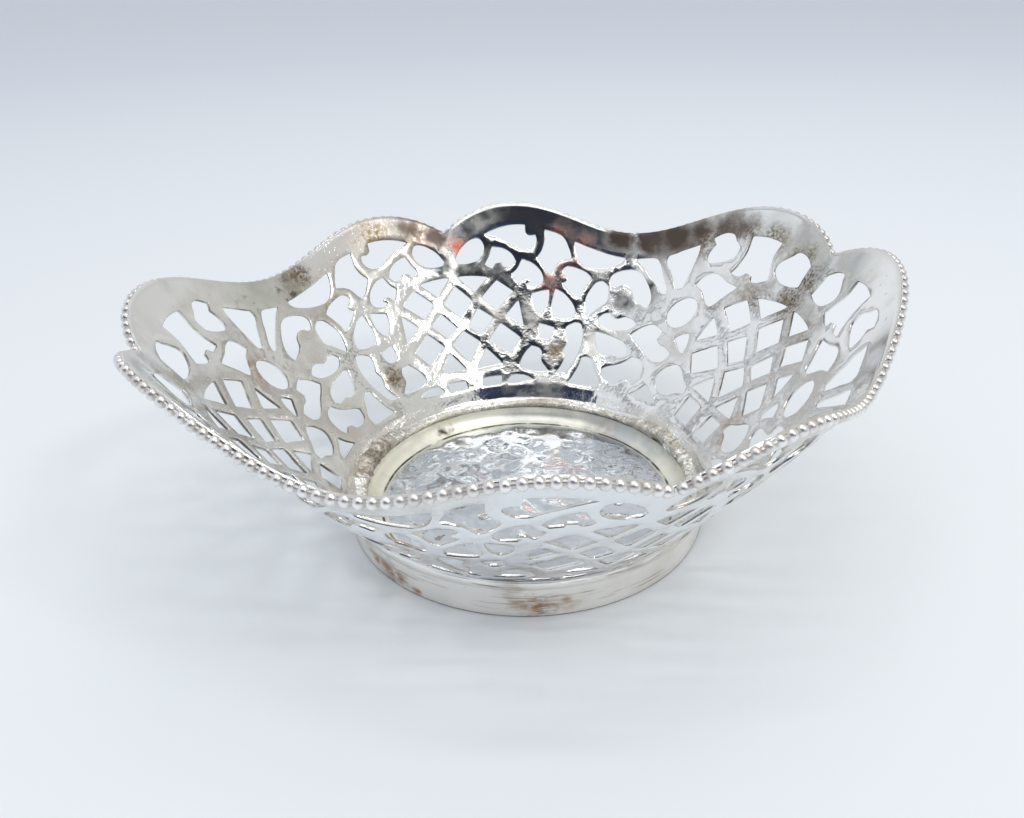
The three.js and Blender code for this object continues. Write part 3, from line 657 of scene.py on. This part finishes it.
# The foot's lists go round its section: each point is out and up from the corner that the list starts at, but
# on the wall it is the height, and how far in from the wall's line.
foot = {
    "topRadius": 35.17, "topHeight": 7.91, "baseRadius": 33.97, "sheet": 1.0, "collar": 1.6,
    "bevelSlope": 1.79, "bevelShare": 0.6,
    "bottom": [(-0.5, 0.0), (-0.25, 0.02), (-0.07, 0.08)],
    "wall": [(0.25, 0.0), (1.2, 0.09), (2.6, 0.15), (4.2, 0.15)],
    "collarEdge": [(-0.12, 0.17), (-0.05, 0.25), (0.0, 0.06), (0.08, 0.0), (0.8, 0.0)],
    "top": [(0.0, -0.22), (-0.06, -0.03), (-0.22, 0.04), (-0.5, 0.1)],
    "insideTop": [(0.05, 0.1), (0.0, -0.15)], "waist": (0.2, 4.0),
    "insideLow": [(0.0, 1.0), (0.0, 0.1), (0.08, 0.0)],
    "turns": 160, "dent": 0.03, "dentSize": 7, "evenBottom": 0.1, "evenTop": 0.3, "crease": 40,
}


def makeFoot():
    top = Vector((foot["topRadius"], foot["topHeight"]))
    bottom = Vector((foot["baseRadius"], 0))
    collarLow = foot["topHeight"] - foot["collar"]
    innerTop = top - Vector((foot["sheet"], foot["sheet"] * foot["bevelSlope"]))
    innerLow = bottom - Vector((foot["sheet"], 0))

    def onWall(height, inward):
        return bottom.lerp(top, height / foot["topHeight"]) - Vector((inward, 0))

    section = [bottom + Vector(p) for p in foot["bottom"]]
    section += [onWall(height, inward) for height, inward in foot["wall"]]
    section += [onWall(collarLow + height, inward) for height, inward in foot["collarEdge"]]
    section += [top + Vector(p) for p in foot["top"]] + [top.lerp(innerTop, foot["bevelShare"])]
    section += [innerTop + Vector(p) for p in foot["insideTop"]]
    section += [Vector((innerTop.x - foot["waist"][0], foot["waist"][1]))]
    section += [innerLow + Vector(p) for p in foot["insideLow"]]
    bm = bmesh.new()
    spun(bm, [(p.x, p.y) for p in section + section[:1]], foot["turns"])
    for vert in bm.verts:
        if foot["evenBottom"] < vert.co.z < foot["topHeight"] - foot["evenTop"]:
            outward = Vector((vert.co.x, vert.co.y, 0)).normalized()
            vert.co += outward * foot["dent"] * (noise.noise(vert.co / foot["dentSize"]) - 1)
    finishPiece(bm, "foot_ring", "foot", ["collar_foot"], foot["crease"])


# Old silver: bright metal with cloudy tarnish, fine specks, scratches, and stains of several kinds; some
# kinds also paint shade, and reflections of the dark and reddish room.
stainKinds = {  # colour, how fine the grain is, what part of it shows, and how much of the stain fills evenly
    "brown": ((0.27, 0.19, 0.10), 1150, (0.38, 0.60), 0.48),
    "speckled": ((0.11, 0.075, 0.04), 1700, (0.45, 0.56), 0.12),
    "smoke": ((0.24, 0.20, 0.17), 60, (0.20, 0.60), 0.5),
    # Brown tarnish and painted shade: darkens the rim band where it reflects the dark room.
    "umberAndShade": ((0.11, 0.085, 0.07), 200, (0.20, 0.60), 0.93),
    # Copper-red patches, partly a painted reddish reflection of the room in front.
    "copperAndReflection": ((0.60, 0.15, 0.08), 320, (0.36, 0.55), 0.35),
    "sage": ((0.40, 0.43, 0.33), 120, (0.25, 0.60), 0.45),
    "black": ((0.02, 0.02, 0.022), 420, (0.50, 0.60), 0.0),
    "rust": ((0.43, 0.24, 0.12), 600, (0.37, 0.58), 0.2),
    # Not a stain but painted shade: dark patches where the metal reflects the dark room.
    "shade": ((0.07, 0.08, 0.078), 260, (0.32, 0.58), 0.6),
}
maskNoise = {  # how detailed the noise of each mask is, and its seed
    "clouds": (6.0, 1.0), "specks": (3.0, 2.0), "scratches": (2.0, 4.0), "dimples": (3.0, 5.0),
    "grimeAndShade": (3.0, 6.0), "folds": (3.0, 7.0), "streaks": (3.0, 8.0), "cornerLine": (3.0, 9.0),
    "grains": (6.0, 10.0),  # each kind of stain one seed further
}
silver = {  # what all the finishes share
    "noiseRoughness": 0.6, "cloudShare": 0.7, "speckShare": 0.45,
    "scratches": (3500, (0.62, 0.72)), "scratchTurn": (0.4, 0.9, 0.3), "scratchStretch": (1.0, 0.04, 0.3),
    "scratchDepth": 0.00005, "dimpleSpan": (0.2, 0.8), "dimpleDepth": 0.0002, "calmDimple": 0.03,
    "stainWander": 5.0, "wanderScale": 330, "wanderDetail": 3.0,
}
# Clouds, specks, the corner line, streaks and the grime with its painted shade are a colour, a noise scale
# and the part of the noise that shows.
# A stain is its middle, its reach and its strength.
silvers = {
    "body": {
        # The outside's colour is partly cleaner silver, partly a painted reflection of the pale table.
        "slot": "body_silver", "bright": (0.88, 0.875, 0.855), "outside": (0.95, 0.97, 0.99),
        "clouds": ((0.64, 0.60, 0.53), 70, (0.46, 0.68)), "specks": ((0.30, 0.22, 0.14), 900, (0.64, 0.76)),
        "roughness": (0.13, 0.38), "scratch": 0.12, "dimple": 0.45, "dimpleScale": 260, "calm": (26, 36),
        # The colour of the sawn faces' dirt and painted shade.
        "grimeAndShade": ((0.20, 0.17, 0.14), 150, (0.38, 0.66)),
        "stains": {
            "brown": [((-16.7, 54.6, 40.5), 11, 1.0), ((-7, 56.6, 39.5), 8, 1.0), ((-36, 44, 36), 6, 1.0),
                      ((60, 13, 42), 6, 0.7), ((51.5, 29.1, 38.5), 6, 0.8), ((55.1, 25.7, 40.5), 6, 0.6),
                      ((58.4, 20.1, 42), 5, 0.6), ((60.7, 5.3, 39.5), 7, 1.0), ((60.2, 0.5, 36), 6, 0.7),
                      ((56.4, 1.5, 33), 6, 0.9), ((54, 12, 32), 8, 0.7), ((50, 18, 30), 6, 0.6),
                      ((55, -8, 30), 9, 0.6), ((-18.2, 34.9, 14.4), 5, 1.0), ((19.6, 34.7, 14.8), 5, 1.0),
                      ((22, 33, 18), 5, 0.8), ((-30, 44, 30), 8, 0.7), ((-25, 48, 34), 8, 0.6),
                      ((-50, 22, 33), 9, 0.35), ((62, 8, 43.5), 8, 0.3)],
            "speckled": [((-34, 45, 37), 4, 0.9), ((57, 23, 41.4), 5, 1.0), ((59.8, 14.5, 42.3), 5, 1.0),
                         ((59, 2.5, 36.5), 5, 1.0), ((52.5, 8, 32.5), 5, 0.8), ((47, 16, 29.5), 4, 0.8),
                         ((52, 28, 38.5), 5, 1.0), ((55.1, 25.7, 40.5), 5, 0.8), ((58.4, 20.1, 42), 5, 0.9),
                         ((60.7, 5.3, 39.5), 6, 1.0), ((60.2, 0.5, 38), 6, 1.0), ((56.4, 1.5, 33), 6, 1.0),
                         ((-18.2, 34.9, 14.4), 4.5, 1.0)],
            "smoke": [((-3, 56.2, 38), 6, 1.0), ((-20, 46, 32), 6, 0.5), ((47, 34.1, 38), 12, 1.0),
                      ((56.5, 23.5, 43), 6, 0.8), ((-52, 8, 30), 8, 0.3), ((30, -40, 30), 9, 0.4)],
            # The dark rim band: brown tarnish and painted shade.
            "umberAndShade": [((38, 42, 37.5), 6, 1.4), ((43, 37.5, 37.7), 6.5, 1.6), ((47.5, 33.6, 38.8), 6, 1.4),
                      ((51.5, 29.5, 41), 5, 1.1), ((54.8, 26, 42.6), 5, 0.9), ((57.3, 22, 43.6), 5, 0.7),
                      ((-2, 56, 38.5), 6, 1.2), ((-8, 57, 40.5), 6, 1.0)],
            # On the back wall: copper-red patches, partly a painted reflection of the reddish room in front.
            "copperAndReflection": [((2.4, 54.6, 35.8), 3.4, 1.0), ((26.5, 49.6, 38), 5, 0.9),
                       ((30.4, 46.9, 36), 5, 0.7), ((21.2, 44.4, 27.5), 4.5, 0.8),
                       ((26.3, 44.6, 30.5), 5, 0.7)],
            "sage": [((-44, 38, 37), 12, 0.6), ((60, 15, 43), 9, 0.25), ((63.5, 4, 44), 10, 0.4),
                     ((61, -10, 41), 12, 0.4)],
            "black": [((-1.5, 55.6, 35), 5, 0.9), ((-38, 42, 35), 5, 1.0), ((-47, 35, 36), 6, 0.5)],
            "rust": [((38.9, -10.4, 13), 6, 0.8), ((-46, 20, 28), 7, 0.7), ((-31, -34, 22), 5, 0.7),
                     ((-24, -38, 18), 4, 0.6)],
            # Painted shade on dark bars and a dark leaf of the back wall.
            "shade": [((35.3, 34.1, 24.9), 4.6, 1.1), ((40.4, 31.5, 27.7), 4.5, 1.1),
                      ((-2.5, 53, 33), 5, 1.6), ((-3.5, 50.2, 28.9), 3.5, 1.0), ((4.2, 51.2, 30.4), 6, 1.6),
                      ((9.6, 51.1, 31.9), 5, 1.2), ((11.4, 47.4, 27.3), 4.5, 1.0),
                      ((5.7, 48.4, 26.7), 4, 0.8)],
        },
    },
    "base": {
        "slot": "base_silver", "bright": (0.70, 0.73, 0.77),
        # The cove: a duller finish, with its cream colour painted lighter to stand in for the light it
        # catches.
        "cove": (0.97, 0.95, 0.83), "coveSpan": (27.4, 28.3),
        "clouds": ((0.50, 0.54, 0.59), 60, (0.45, 0.65)), "specks": ((0.22, 0.17, 0.12), 700, (0.69, 0.76)),
        "roughness": (0.03, 0.48), "floorDull": 0.12, "scratch": 0.1, "dimple": 0.15, "dimpleScale": 260,
        # A darker line in the corner between the cove and the floor.
        "cornerLine": ((0.10, 0.09, 0.075), 230, (0.30, 0.52)), "cornerLineSpans": ((28.1, 28.3), (28.55, 28.75)),
        "stains": {
            # Brown tarnish and painted shade.
            "umberAndShade": [((-9.1, 28.6, 2.4), 2.0, 1.3)],
            "black": [((0, 28.2, 1.5), 1, 0.5)],
            "rust": [((24, 18, 2.5), 6, 0.35)],
        },
    },
    "foot": {
        "slot": "foot_silver", "bright": (0.97, 0.94, 0.89),
        "clouds": ((0.82, 0.77, 0.69), 60, (0.48, 0.70)), "specks": ((0.30, 0.22, 0.15), 600, (0.66, 0.78)),
        "roughness": (0.28, 0.42), "scratch": 0.5, "dimple": 0.12, "dimpleScale": 260,
        # A painted contact shadow along the foot's bottom edge: its colour, and the heights where it begins
        # and where it is full.
        "lowContactShadow": (0.10, 0.09, 0.085), "lowShadowSpan": (0.34, 0.12),
        "streaks": ((0.38, 0.34, 0.30), 1500, (0.56, 0.68)), "streakStretch": (0.05, 0.05, 1.0),
        "stainStretch": (0.3, 0.3, 2.0),
        "stains": {
            "brown": [((-14, -32, 6.5), 4, 0.5), ((-33, -10, 6), 4, 0.5)],
            "speckled": [((-30.5, -16, 2.4), 4, 0.8), ((-9, -33, 2.2), 4, 0.8)],
            "rust": [((-32.2, -12.5, 3.2), 2.4, 1.0), ((-31, -15.4, 2.6), 2.8, 1.0),
                     ((-29.4, -18, 1.8), 2.6, 1.0), ((-27.3, -21, 1), 2.2, 1.0),
                     ((-12.5, -32, 3), 2.3, 1.0), ((-10, -33, 2.7), 2.7, 1.0),
                     ((-7.5, -33.6, 2.9), 2.4, 1.0), ((-5, -34, 2.6), 2.2, 0.9), ((20, 28, 3), 4, 0.8)],
        },
    },
    "beads": {
        "slot": "bead_silver", "bright": (0.96, 0.94, 0.92),
        "clouds": ((0.66, 0.60, 0.56), 210, (0.40, 0.66)), "specks": ((0.35, 0.26, 0.20), 900, (0.66, 0.80)),
        "roughness": (0.32, 0.44), "scratch": 0.04, "dimple": 0.12, "dimpleScale": 260,
        # The colour of the tarnish and painted shade between the beads, over all that the mesh marks.
        "grimeAndShade": ((0.38, 0.34, 0.31), 150, (-1.0, 0.0)),
        "stains": {},
    },
    "solder": {
        "slot": "base_silver", "bright": (0.90, 0.88, 0.83),
        "clouds": ((0.62, 0.57, 0.47), 300, (0.45, 0.60)), "specks": ((0.16, 0.11, 0.07), 1200, (0.54, 0.62)),
        "roughness": (0.22, 0.5), "scratch": 0.05, "dimple": 1.0, "dimpleScale": 1100,
        "stains": {
            "brown": [((-27, 17, 5), 13, 0.6), ((15, 28, 5), 7, 0.4)],
            "speckled": [((-26, 18, 5), 9, 0.6), ((31, 4, 5), 8, 0.45)],
        },
    },
}
finishes = {}


def addNode(tree, kind, **inputs):
    node = tree.nodes.new(kind)
    for key, value in inputs.items():
        node.inputs[key].default_value = value
    return node


def joined(tree, operation, first, second, clamp=True):
    node = tree.nodes.new("ShaderNodeMath")
    node.operation = operation
    node.use_clamp = clamp
    for socket, value in zip(node.inputs, (first, second)):
        if isinstance(value, (int, float)):
            socket.default_value = value
        else:
            tree.links.new(value, socket)
    return node.outputs[0]


def joinedVectors(tree, operation, *vectors):
    node = tree.nodes.new("ShaderNodeVectorMath")
    node.operation = operation
    for socket, vector in zip(node.inputs, vectors):
        if isinstance(vector, tuple):
            socket.default_value = vector
        else:
            tree.links.new(vector, socket)
    return node


def mixed(tree, mask, first, second):
    node = tree.nodes.new("ShaderNodeMix")
    node.data_type = "RGBA"
    tree.links.new(mask, node.inputs["Factor"])
    for socket, value in ((node.inputs["A"], first), (node.inputs["B"], second)):
        if isinstance(value, tuple):
            socket.default_value = (*value, 1)
        else:
            tree.links.new(value, socket)
    return node.outputs["Result"]


# A value carried over from one span to another, which it doesn't leave.
def ranged(tree, value, span, results=(0.0, 1.0), smooth=False):
    ends = {"From Min": span[0], "From Max": span[1], "To Min": results[0], "To Max": results[1]}
    ramp = addNode(tree, "ShaderNodeMapRange", **ends)
    if smooth:
        ramp.interpolation_type = "SMOOTHSTEP"
    tree.links.new(value, ramp.inputs["Value"])
    return ramp.outputs["Result"]


def split(tree, vector):
    parts = tree.nodes.new("ShaderNodeSeparateXYZ")
    tree.links.new(vector, parts.inputs["Vector"])
    return parts.outputs


def stretched(tree, coords, scale, turn=(0.0, 0.0, 0.0)):
    mapping = addNode(tree, "ShaderNodeMapping", Scale=scale, Rotation=turn)
    tree.links.new(coords, mapping.inputs["Vector"])
    return mapping.outputs["Vector"]


# What markFaces and makeBead wrote on the mesh.
def markOf(tree, name):
    mark = tree.nodes.new("ShaderNodeAttribute")
    mark.attribute_name = name
    return mark.outputs["Fac"]


# A cloudy mask from 0 to 1, from noise on the piece's own coordinates.
def cloudMask(tree, coords, use, scale, span, seedStep=0):
    detail, seed = maskNoise[use]
    roughness = silver["noiseRoughness"]
    clouds = addNode(tree, "ShaderNodeTexNoise", Scale=scale, Detail=detail, Roughness=roughness)
    clouds.noise_dimensions = "4D"
    clouds.inputs["W"].default_value = seed + seedStep
    tree.links.new(coords, clouds.inputs["Vector"])
    return ranged(tree, clouds.outputs["Fac"], span, smooth=True)


# The same coordinates, shifted a little here and there so that edges wander.
def wandering(tree, coords):
    shift = addNode(tree, "ShaderNodeTexNoise", Scale=silver["wanderScale"], Detail=silver["wanderDetail"])
    tree.links.new(coords, shift.inputs["Vector"])
    reach = (silver["stainWander"] * mm,) * 3
    return joinedVectors(tree, "MULTIPLY_ADD", shift.outputs["Color"], reach, coords).outputs["Vector"]


# How near the surface is to a stain: 1 in its middle, 0 past its edge. The wandering shifts it by half.
def stainMask(tree, coords, middle, reach, strength):
    centre = tuple((v + silver["stainWander"] / 2) * mm for v in middle)
    apart = joinedVectors(tree, "DISTANCE", coords, centre).outputs["Value"]
    return ranged(tree, apart, (reach * mm, 0.0), (0.0, strength), smooth=True)


# All stains of one kind: soft at their edges, which wander, and broken up by their grain.
def stainLayer(tree, coords, grainCoords, kind, stains, seedStep):
    grain, span, even = stainKinds[kind][1:]
    wandered = wandering(tree, coords)
    near = 0.0
    for middle, reach, strength in stains:
        near = joined(tree, "MAXIMUM", stainMask(tree, wandered, middle, reach, strength), near)
    grains = joined(tree, "MULTIPLY", cloudMask(tree, grainCoords, "grains", grain, span, seedStep), 1 - even)
    return joined(tree, "MULTIPLY", near, joined(tree, "ADD", grains, even))


# 0 inside the first radius, 1 outside the second.
def ringShare(tree, coords, radii):
    parts = split(tree, coords)
    flat = tree.nodes.new("ShaderNodeCombineXYZ")
    for axis in ("X", "Y"):
        tree.links.new(parts[axis], flat.inputs[axis])
    length = joinedVectors(tree, "LENGTH", flat.outputs["Vector"]).outputs["Value"]
    return ranged(tree, length, (radii[0] * mm, radii[1] * mm))


# Everything that lies on the metal and dulls it, with painted shade and a painted contact shadow among it,
# each as its mask and its colour, from the lowest up.
def dirtLayers(tree, coords, values):
    layers = []
    if "cornerLine" in values:  # in the corner between the cove and the floor
        tint, scale, span = values["cornerLine"]
        floorSide, coveSide = [ringShare(tree, coords, radii) for radii in values["cornerLineSpans"]]
        band = joined(tree, "SUBTRACT", floorSide, coveSide)
        layers.append((joined(tree, "MULTIPLY", band, cloudMask(tree, coords, "cornerLine", scale, span)), tint))
    grainCoords = stretched(tree, coords, values["stainStretch"]) if "stainStretch" in values else coords
    for seedStep, kind in enumerate(stainKinds):
        if kind in values["stains"]:
            layer = stainLayer(tree, coords, grainCoords, kind, values["stains"][kind], seedStep)
            layers.append((layer, stainKinds[kind][0]))
    # A painted contact shadow along the lowest edge, where the foot stands on the table.
    if "lowContactShadow" in values:  # along the lowest edge
        shadowFades, shadowFull = values["lowShadowSpan"]
        layers.append((ranged(tree, split(tree, coords)["Z"], (shadowFades * mm, shadowFull * mm)), values["lowContactShadow"]))
    # Grime on the marked faces and beads, which also paints the shade along sawn edges and between the beads.
    if "grimeAndShade" in values:
        tint, scale, span = values["grimeAndShade"]
        patches = cloudMask(tree, coords, "grimeAndShade", scale, span)
        layers.append((joined(tree, "MULTIPLY", markOf(tree, "grimeAndShade"), patches), tint))
    return layers


# The metal's colour, and how dull it is from 0 to 1.
def silverColour(tree, coords, values):
    bright = values["bright"]
    # Outside: cleaner silver and a painted reflection of the pale table.
    if "outside" in values:
        bright = mixed(tree, markOf(tree, "outside"), bright, values["outside"])
    # The cove ring: a duller finish, and a cream colour painted lighter as painted light.
    if "cove" in values:
        cove = ringShare(tree, coords, values["coveSpan"])
        bright = mixed(tree, cove, bright, values["cove"])
    cloudTint, scale, span = values["clouds"]
    clouds = cloudMask(tree, coords, "clouds", scale, span)
    speckTint, scale, span = values["specks"]
    specks = joined(tree, "MULTIPLY", cloudMask(tree, coords, "specks", scale, span), silver["speckShare"])
    colour = mixed(tree, joined(tree, "MULTIPLY", clouds, silver["cloudShare"]), bright, cloudTint)
    colour = mixed(tree, specks, colour, speckTint)
    dull = joined(tree, "MAXIMUM", clouds, specks)
    if "cove" in values:
        dull = joined(tree, "MAXIMUM", joined(tree, "MULTIPLY", dull, values["floorDull"]), cove)
    if "streaks" in values:  # fine level lines, left by wiping round the ring
        tint, scale, span = values["streaks"]
        level = stretched(tree, coords, values["streakStretch"])
        colour = mixed(tree, cloudMask(tree, level, "streaks", scale, span), colour, tint)
    for layer, tint in dirtLayers(tree, coords, values):
        colour = mixed(tree, layer, colour, tint)
        dull = joined(tree, "MAXIMUM", dull, layer)
    return colour, dull


# Fine scratches over soft dimples, which the body has only low down.
def silverBumps(tree, coords, values):
    dimples = cloudMask(tree, coords, "dimples", values["dimpleScale"], silver["dimpleSpan"])
    dimpled = addNode(tree, "ShaderNodeBump", Strength=values["dimple"], Distance=silver["dimpleDepth"])
    tree.links.new(dimples, dimpled.inputs["Height"])
    if "calm" in values:
        low, high = values["calm"]
        strengths = (values["dimple"], silver["calmDimple"])
        strength = ranged(tree, split(tree, coords)["Z"], (low * mm, high * mm), strengths)
        tree.links.new(strength, dimpled.inputs["Strength"])
    drawnOut = stretched(tree, coords, silver["scratchStretch"], silver["scratchTurn"])
    scratched = addNode(tree, "ShaderNodeBump", Strength=values["scratch"], Distance=silver["scratchDepth"])
    tree.links.new(cloudMask(tree, drawnOut, "scratches", *silver["scratches"]), scratched.inputs["Height"])
    tree.links.new(dimpled.outputs["Normal"], scratched.inputs["Normal"])
    return scratched.outputs["Normal"]


def newMaterial(name):
    material = bpy.data.materials.new(name)
    material.use_nodes = True
    tree = material.node_tree
    coords = tree.nodes.new("ShaderNodeTexCoord").outputs["Object"]
    return material, tree, tree.nodes["Principled BSDF"], coords


def silverFinish(name):
    if name in finishes:
        return finishes[name]
    values = silvers[name]
    material, tree, shader, coords = newMaterial(name + "_silver")
    shader.inputs["Metallic"].default_value = 1.0
    colour, dull = silverColour(tree, coords, values)
    tree.links.new(colour, shader.inputs["Base Color"])
    tree.links.new(ranged(tree, dull, (0.0, 1.0), values["roughness"]), shader.inputs["Roughness"])
    tree.links.new(silverBumps(tree, coords, values), shader.inputs["Normal"])
    finishes[name] = material
    return material


# The table: pale, a little bluer further back, and darker there as painted shade where the light falls off.
stage = {
    # From near to far the colour darkens: a painted fall-off of light.
    "size": 3.0, "segments": 8, "near": (0.81, 0.84, 0.865), "far": (0.73, 0.775, 0.85), "fade": (0.1, 0.72),
    "roughness": 0.8, "shine": 0.1,
}


def makeFloor():
    bm = bmesh.new()
    bmesh.ops.create_grid(bm, x_segments=stage["segments"], y_segments=stage["segments"], size=stage["size"])
    floor, mesh = meshObject(bm, "floor")
    material, tree, shader, coords = newMaterial("pale_table")
    shader.inputs["Roughness"].default_value = stage["roughness"]
    shader.inputs["Specular IOR Level"].default_value = stage["shine"]
    length = joinedVectors(tree, "LENGTH", coords).outputs["Value"]
    colour = mixed(tree, ranged(tree, length, stage["fade"]), stage["near"], stage["far"])
    tree.links.new(colour, shader.inputs["Base Color"])
    mesh.materials.append(material)


# A pale tent with two dark openings, where the room shows, and thin dark seams. Openings, seams and folds are
# there for what the silver reflects only: seen straight, and on the table, the tent is plain.
# Directions are turned with the camera: across is to its right and height is above the table, in degrees.
light = {
    "tentLeft": (0.91, 0.955, 1.02), "tentRight": (0.76, 0.76, 0.74), "leftToRight": (-0.8, 0.8),
    "roomLow": (0.03, 0.055, 0.15), "roomHigh": (0.012, 0.016, 0.028), "lowToHigh": (0.35, 0.65),
    "strength": 0.88, "softEdge": 1.8, "folds": (0.84, 1.12), "foldScale": 3.2, "foldSpan": (0.3, 0.7),
    "openings": [  # across and height, each from and to
        ((-50, 36), (12, 53)), ((30, 60), (7, 24)), ((-80, -76), (15, 75)), ((-108, -105), (5, 60)),
        ((60, 63), (35, 80)), ((96, 99), (20, 70)), ((150, 152), (25, 70)), ((-130, -127), (8, 62)),
        ((-145, -143), (8, 50)),
    ],
    "lamps": [  # name, direction, distance, size and power
        ("key", (54, 50), 0.9, (0.24, 0.16), 1.25), ("back", (165, 72), 0.9, (0.5, 0.3), 0.55),
        ("strip", (-10, 64), 0.8, (0.8, 0.014), 0.30), ("top", (0, 88), 0.8, (0.6, 0.03), 0.6),
    ],
}
cameraTurn = -18.707


def direction(across, height):
    a, e = math.radians(across + cameraTurn), math.radians(height)
    return Vector((math.sin(a) * math.cos(e), -math.cos(a) * math.cos(e), math.sin(e)))


# 1 between two angles and 0 outside them, with soft edges.
def between(tree, value, span):
    sides = []
    for edge, soft in zip(span, (light["softEdge"], -light["softEdge"])):
        ends = (math.radians(edge - soft), math.radians(edge + soft))
        sides.append(ranged(tree, value, ends, smooth=True))
    return joined(tree, "MULTIPLY", *sides)


def makeWorld():
    world = bpy.data.worlds.new("tent")
    scene.world = world
    world.use_nodes = True
    tree = world.node_tree
    background = tree.nodes["Background"]
    background.inputs["Strength"].default_value = light["strength"]
    turning = addNode(tree, "ShaderNodeVectorRotate", Angle=math.radians(-cameraTurn))
    turning.rotation_type = "Z_AXIS"
    tree.links.new(tree.nodes.new("ShaderNodeTexCoord").outputs["Generated"], turning.inputs["Vector"])
    rays = turning.outputs["Vector"]
    parts = split(tree, rays)
    front = joined(tree, "MULTIPLY", parts["Y"], -1.0, clamp=False)
    across = joined(tree, "ARCTAN2", parts["X"], front, clamp=False)
    height = joined(tree, "ARCSINE", parts["Z"], 0.0, clamp=False)
    dark = 0.0
    for acrossSpan, heightSpan in light["openings"]:
        sides, ends = between(tree, across, acrossSpan), between(tree, height, heightSpan)
        opening = joined(tree, "MULTIPLY", sides, ends)
        dark = joined(tree, "MAXIMUM", opening, dark)
    reflected = tree.nodes.new("ShaderNodeLightPath").outputs["Is Glossy Ray"]
    dark = joined(tree, "MULTIPLY", dark, reflected)
    tent = mixed(tree, ranged(tree, parts["X"], light["leftToRight"]), light["tentLeft"], light["tentRight"])
    room = mixed(tree, ranged(tree, parts["Z"], light["lowToHigh"]), light["roomLow"], light["roomHigh"])
    folds = cloudMask(tree, rays, "folds", light["foldScale"], light["foldSpan"])
    folded = joinedVectors(tree, "SCALE", tent)
    tree.links.new(ranged(tree, folds, (0.0, 1.0), light["folds"]), folded.inputs["Scale"])
    tent = mixed(tree, reflected, tent, folded.outputs["Vector"])
    tree.links.new(mixed(tree, dark, tent, room), background.inputs["Color"])


def makeLamps():
    for name, (across, height), distance, size, energy in light["lamps"]:
        data = bpy.data.lights.new(name, "AREA")
        data.shape = "RECTANGLE"
        data.size, data.size_y = size
        data.energy = energy
        lamp = bpy.data.objects.new(name, data)
        toward = direction(across, height)
        lamp.location = toward * distance
        lamp.rotation_euler = toward.to_track_quat("Z", "Y").to_euler()
        scene.collection.objects.link(lamp)


# The camera, found from the rim, the notches and the foot: turned first about the dish, then on its own axes.
camera = {
    "distance": 176.3, "elevation": 0.598, "pitch": 0.1039, "yaw": -0.01524, "roll": -0.01484,
    "focalShare": 881.13 / 1024, "sensor": 36, "clip": (0.005, 20),
}


def swung(first, second, angle):
    c, s = math.cos(angle), math.sin(angle)
    return first * c + second * s, second * c - first * s


def makeCamera():
    data = bpy.data.cameras.new("camera")
    data.sensor_fit = "HORIZONTAL"
    data.sensor_width = camera["sensor"]
    data.lens = camera["sensor"] * camera["focalShare"]
    data.clip_start, data.clip_end = camera["clip"]
    tilt = camera["elevation"]
    forward = Vector((0, math.cos(tilt), -math.sin(tilt)))
    right, up = Vector((1, 0, 0)), Vector((0, math.sin(tilt), math.cos(tilt)))
    place = -forward * camera["distance"] * mm
    forward, up = swung(forward, up, camera["pitch"])
    forward, right = swung(forward, right, camera["yaw"])
    right, up = swung(right, up, camera["roll"])
    pose = Matrix((right, up, -forward)).transposed().to_4x4()
    around = Matrix.Rotation(math.radians(cameraTurn), 4, "Z")
    eye = bpy.data.objects.new("camera", data)
    eye.matrix_world = around @ Matrix.Translation(place) @ pose
    scene.collection.objects.link(eye)
    scene.camera = eye


makeCamera()
makeFloor()
makeWorld()
makeLamps()
scene.view_settings.view_transform = "Standard"
print("stage, light and camera ready")

makePiercedBody()
for quarter, side in enumerate(("back_right", "back_left", "front_left", "front_right")):
    makeBeadString(quarter, "beads_" + side, "beaded_wire_" + side)
makeBasePlate()
makeSolderLine()
makeFoot()

bpy.context.view_layer.update()
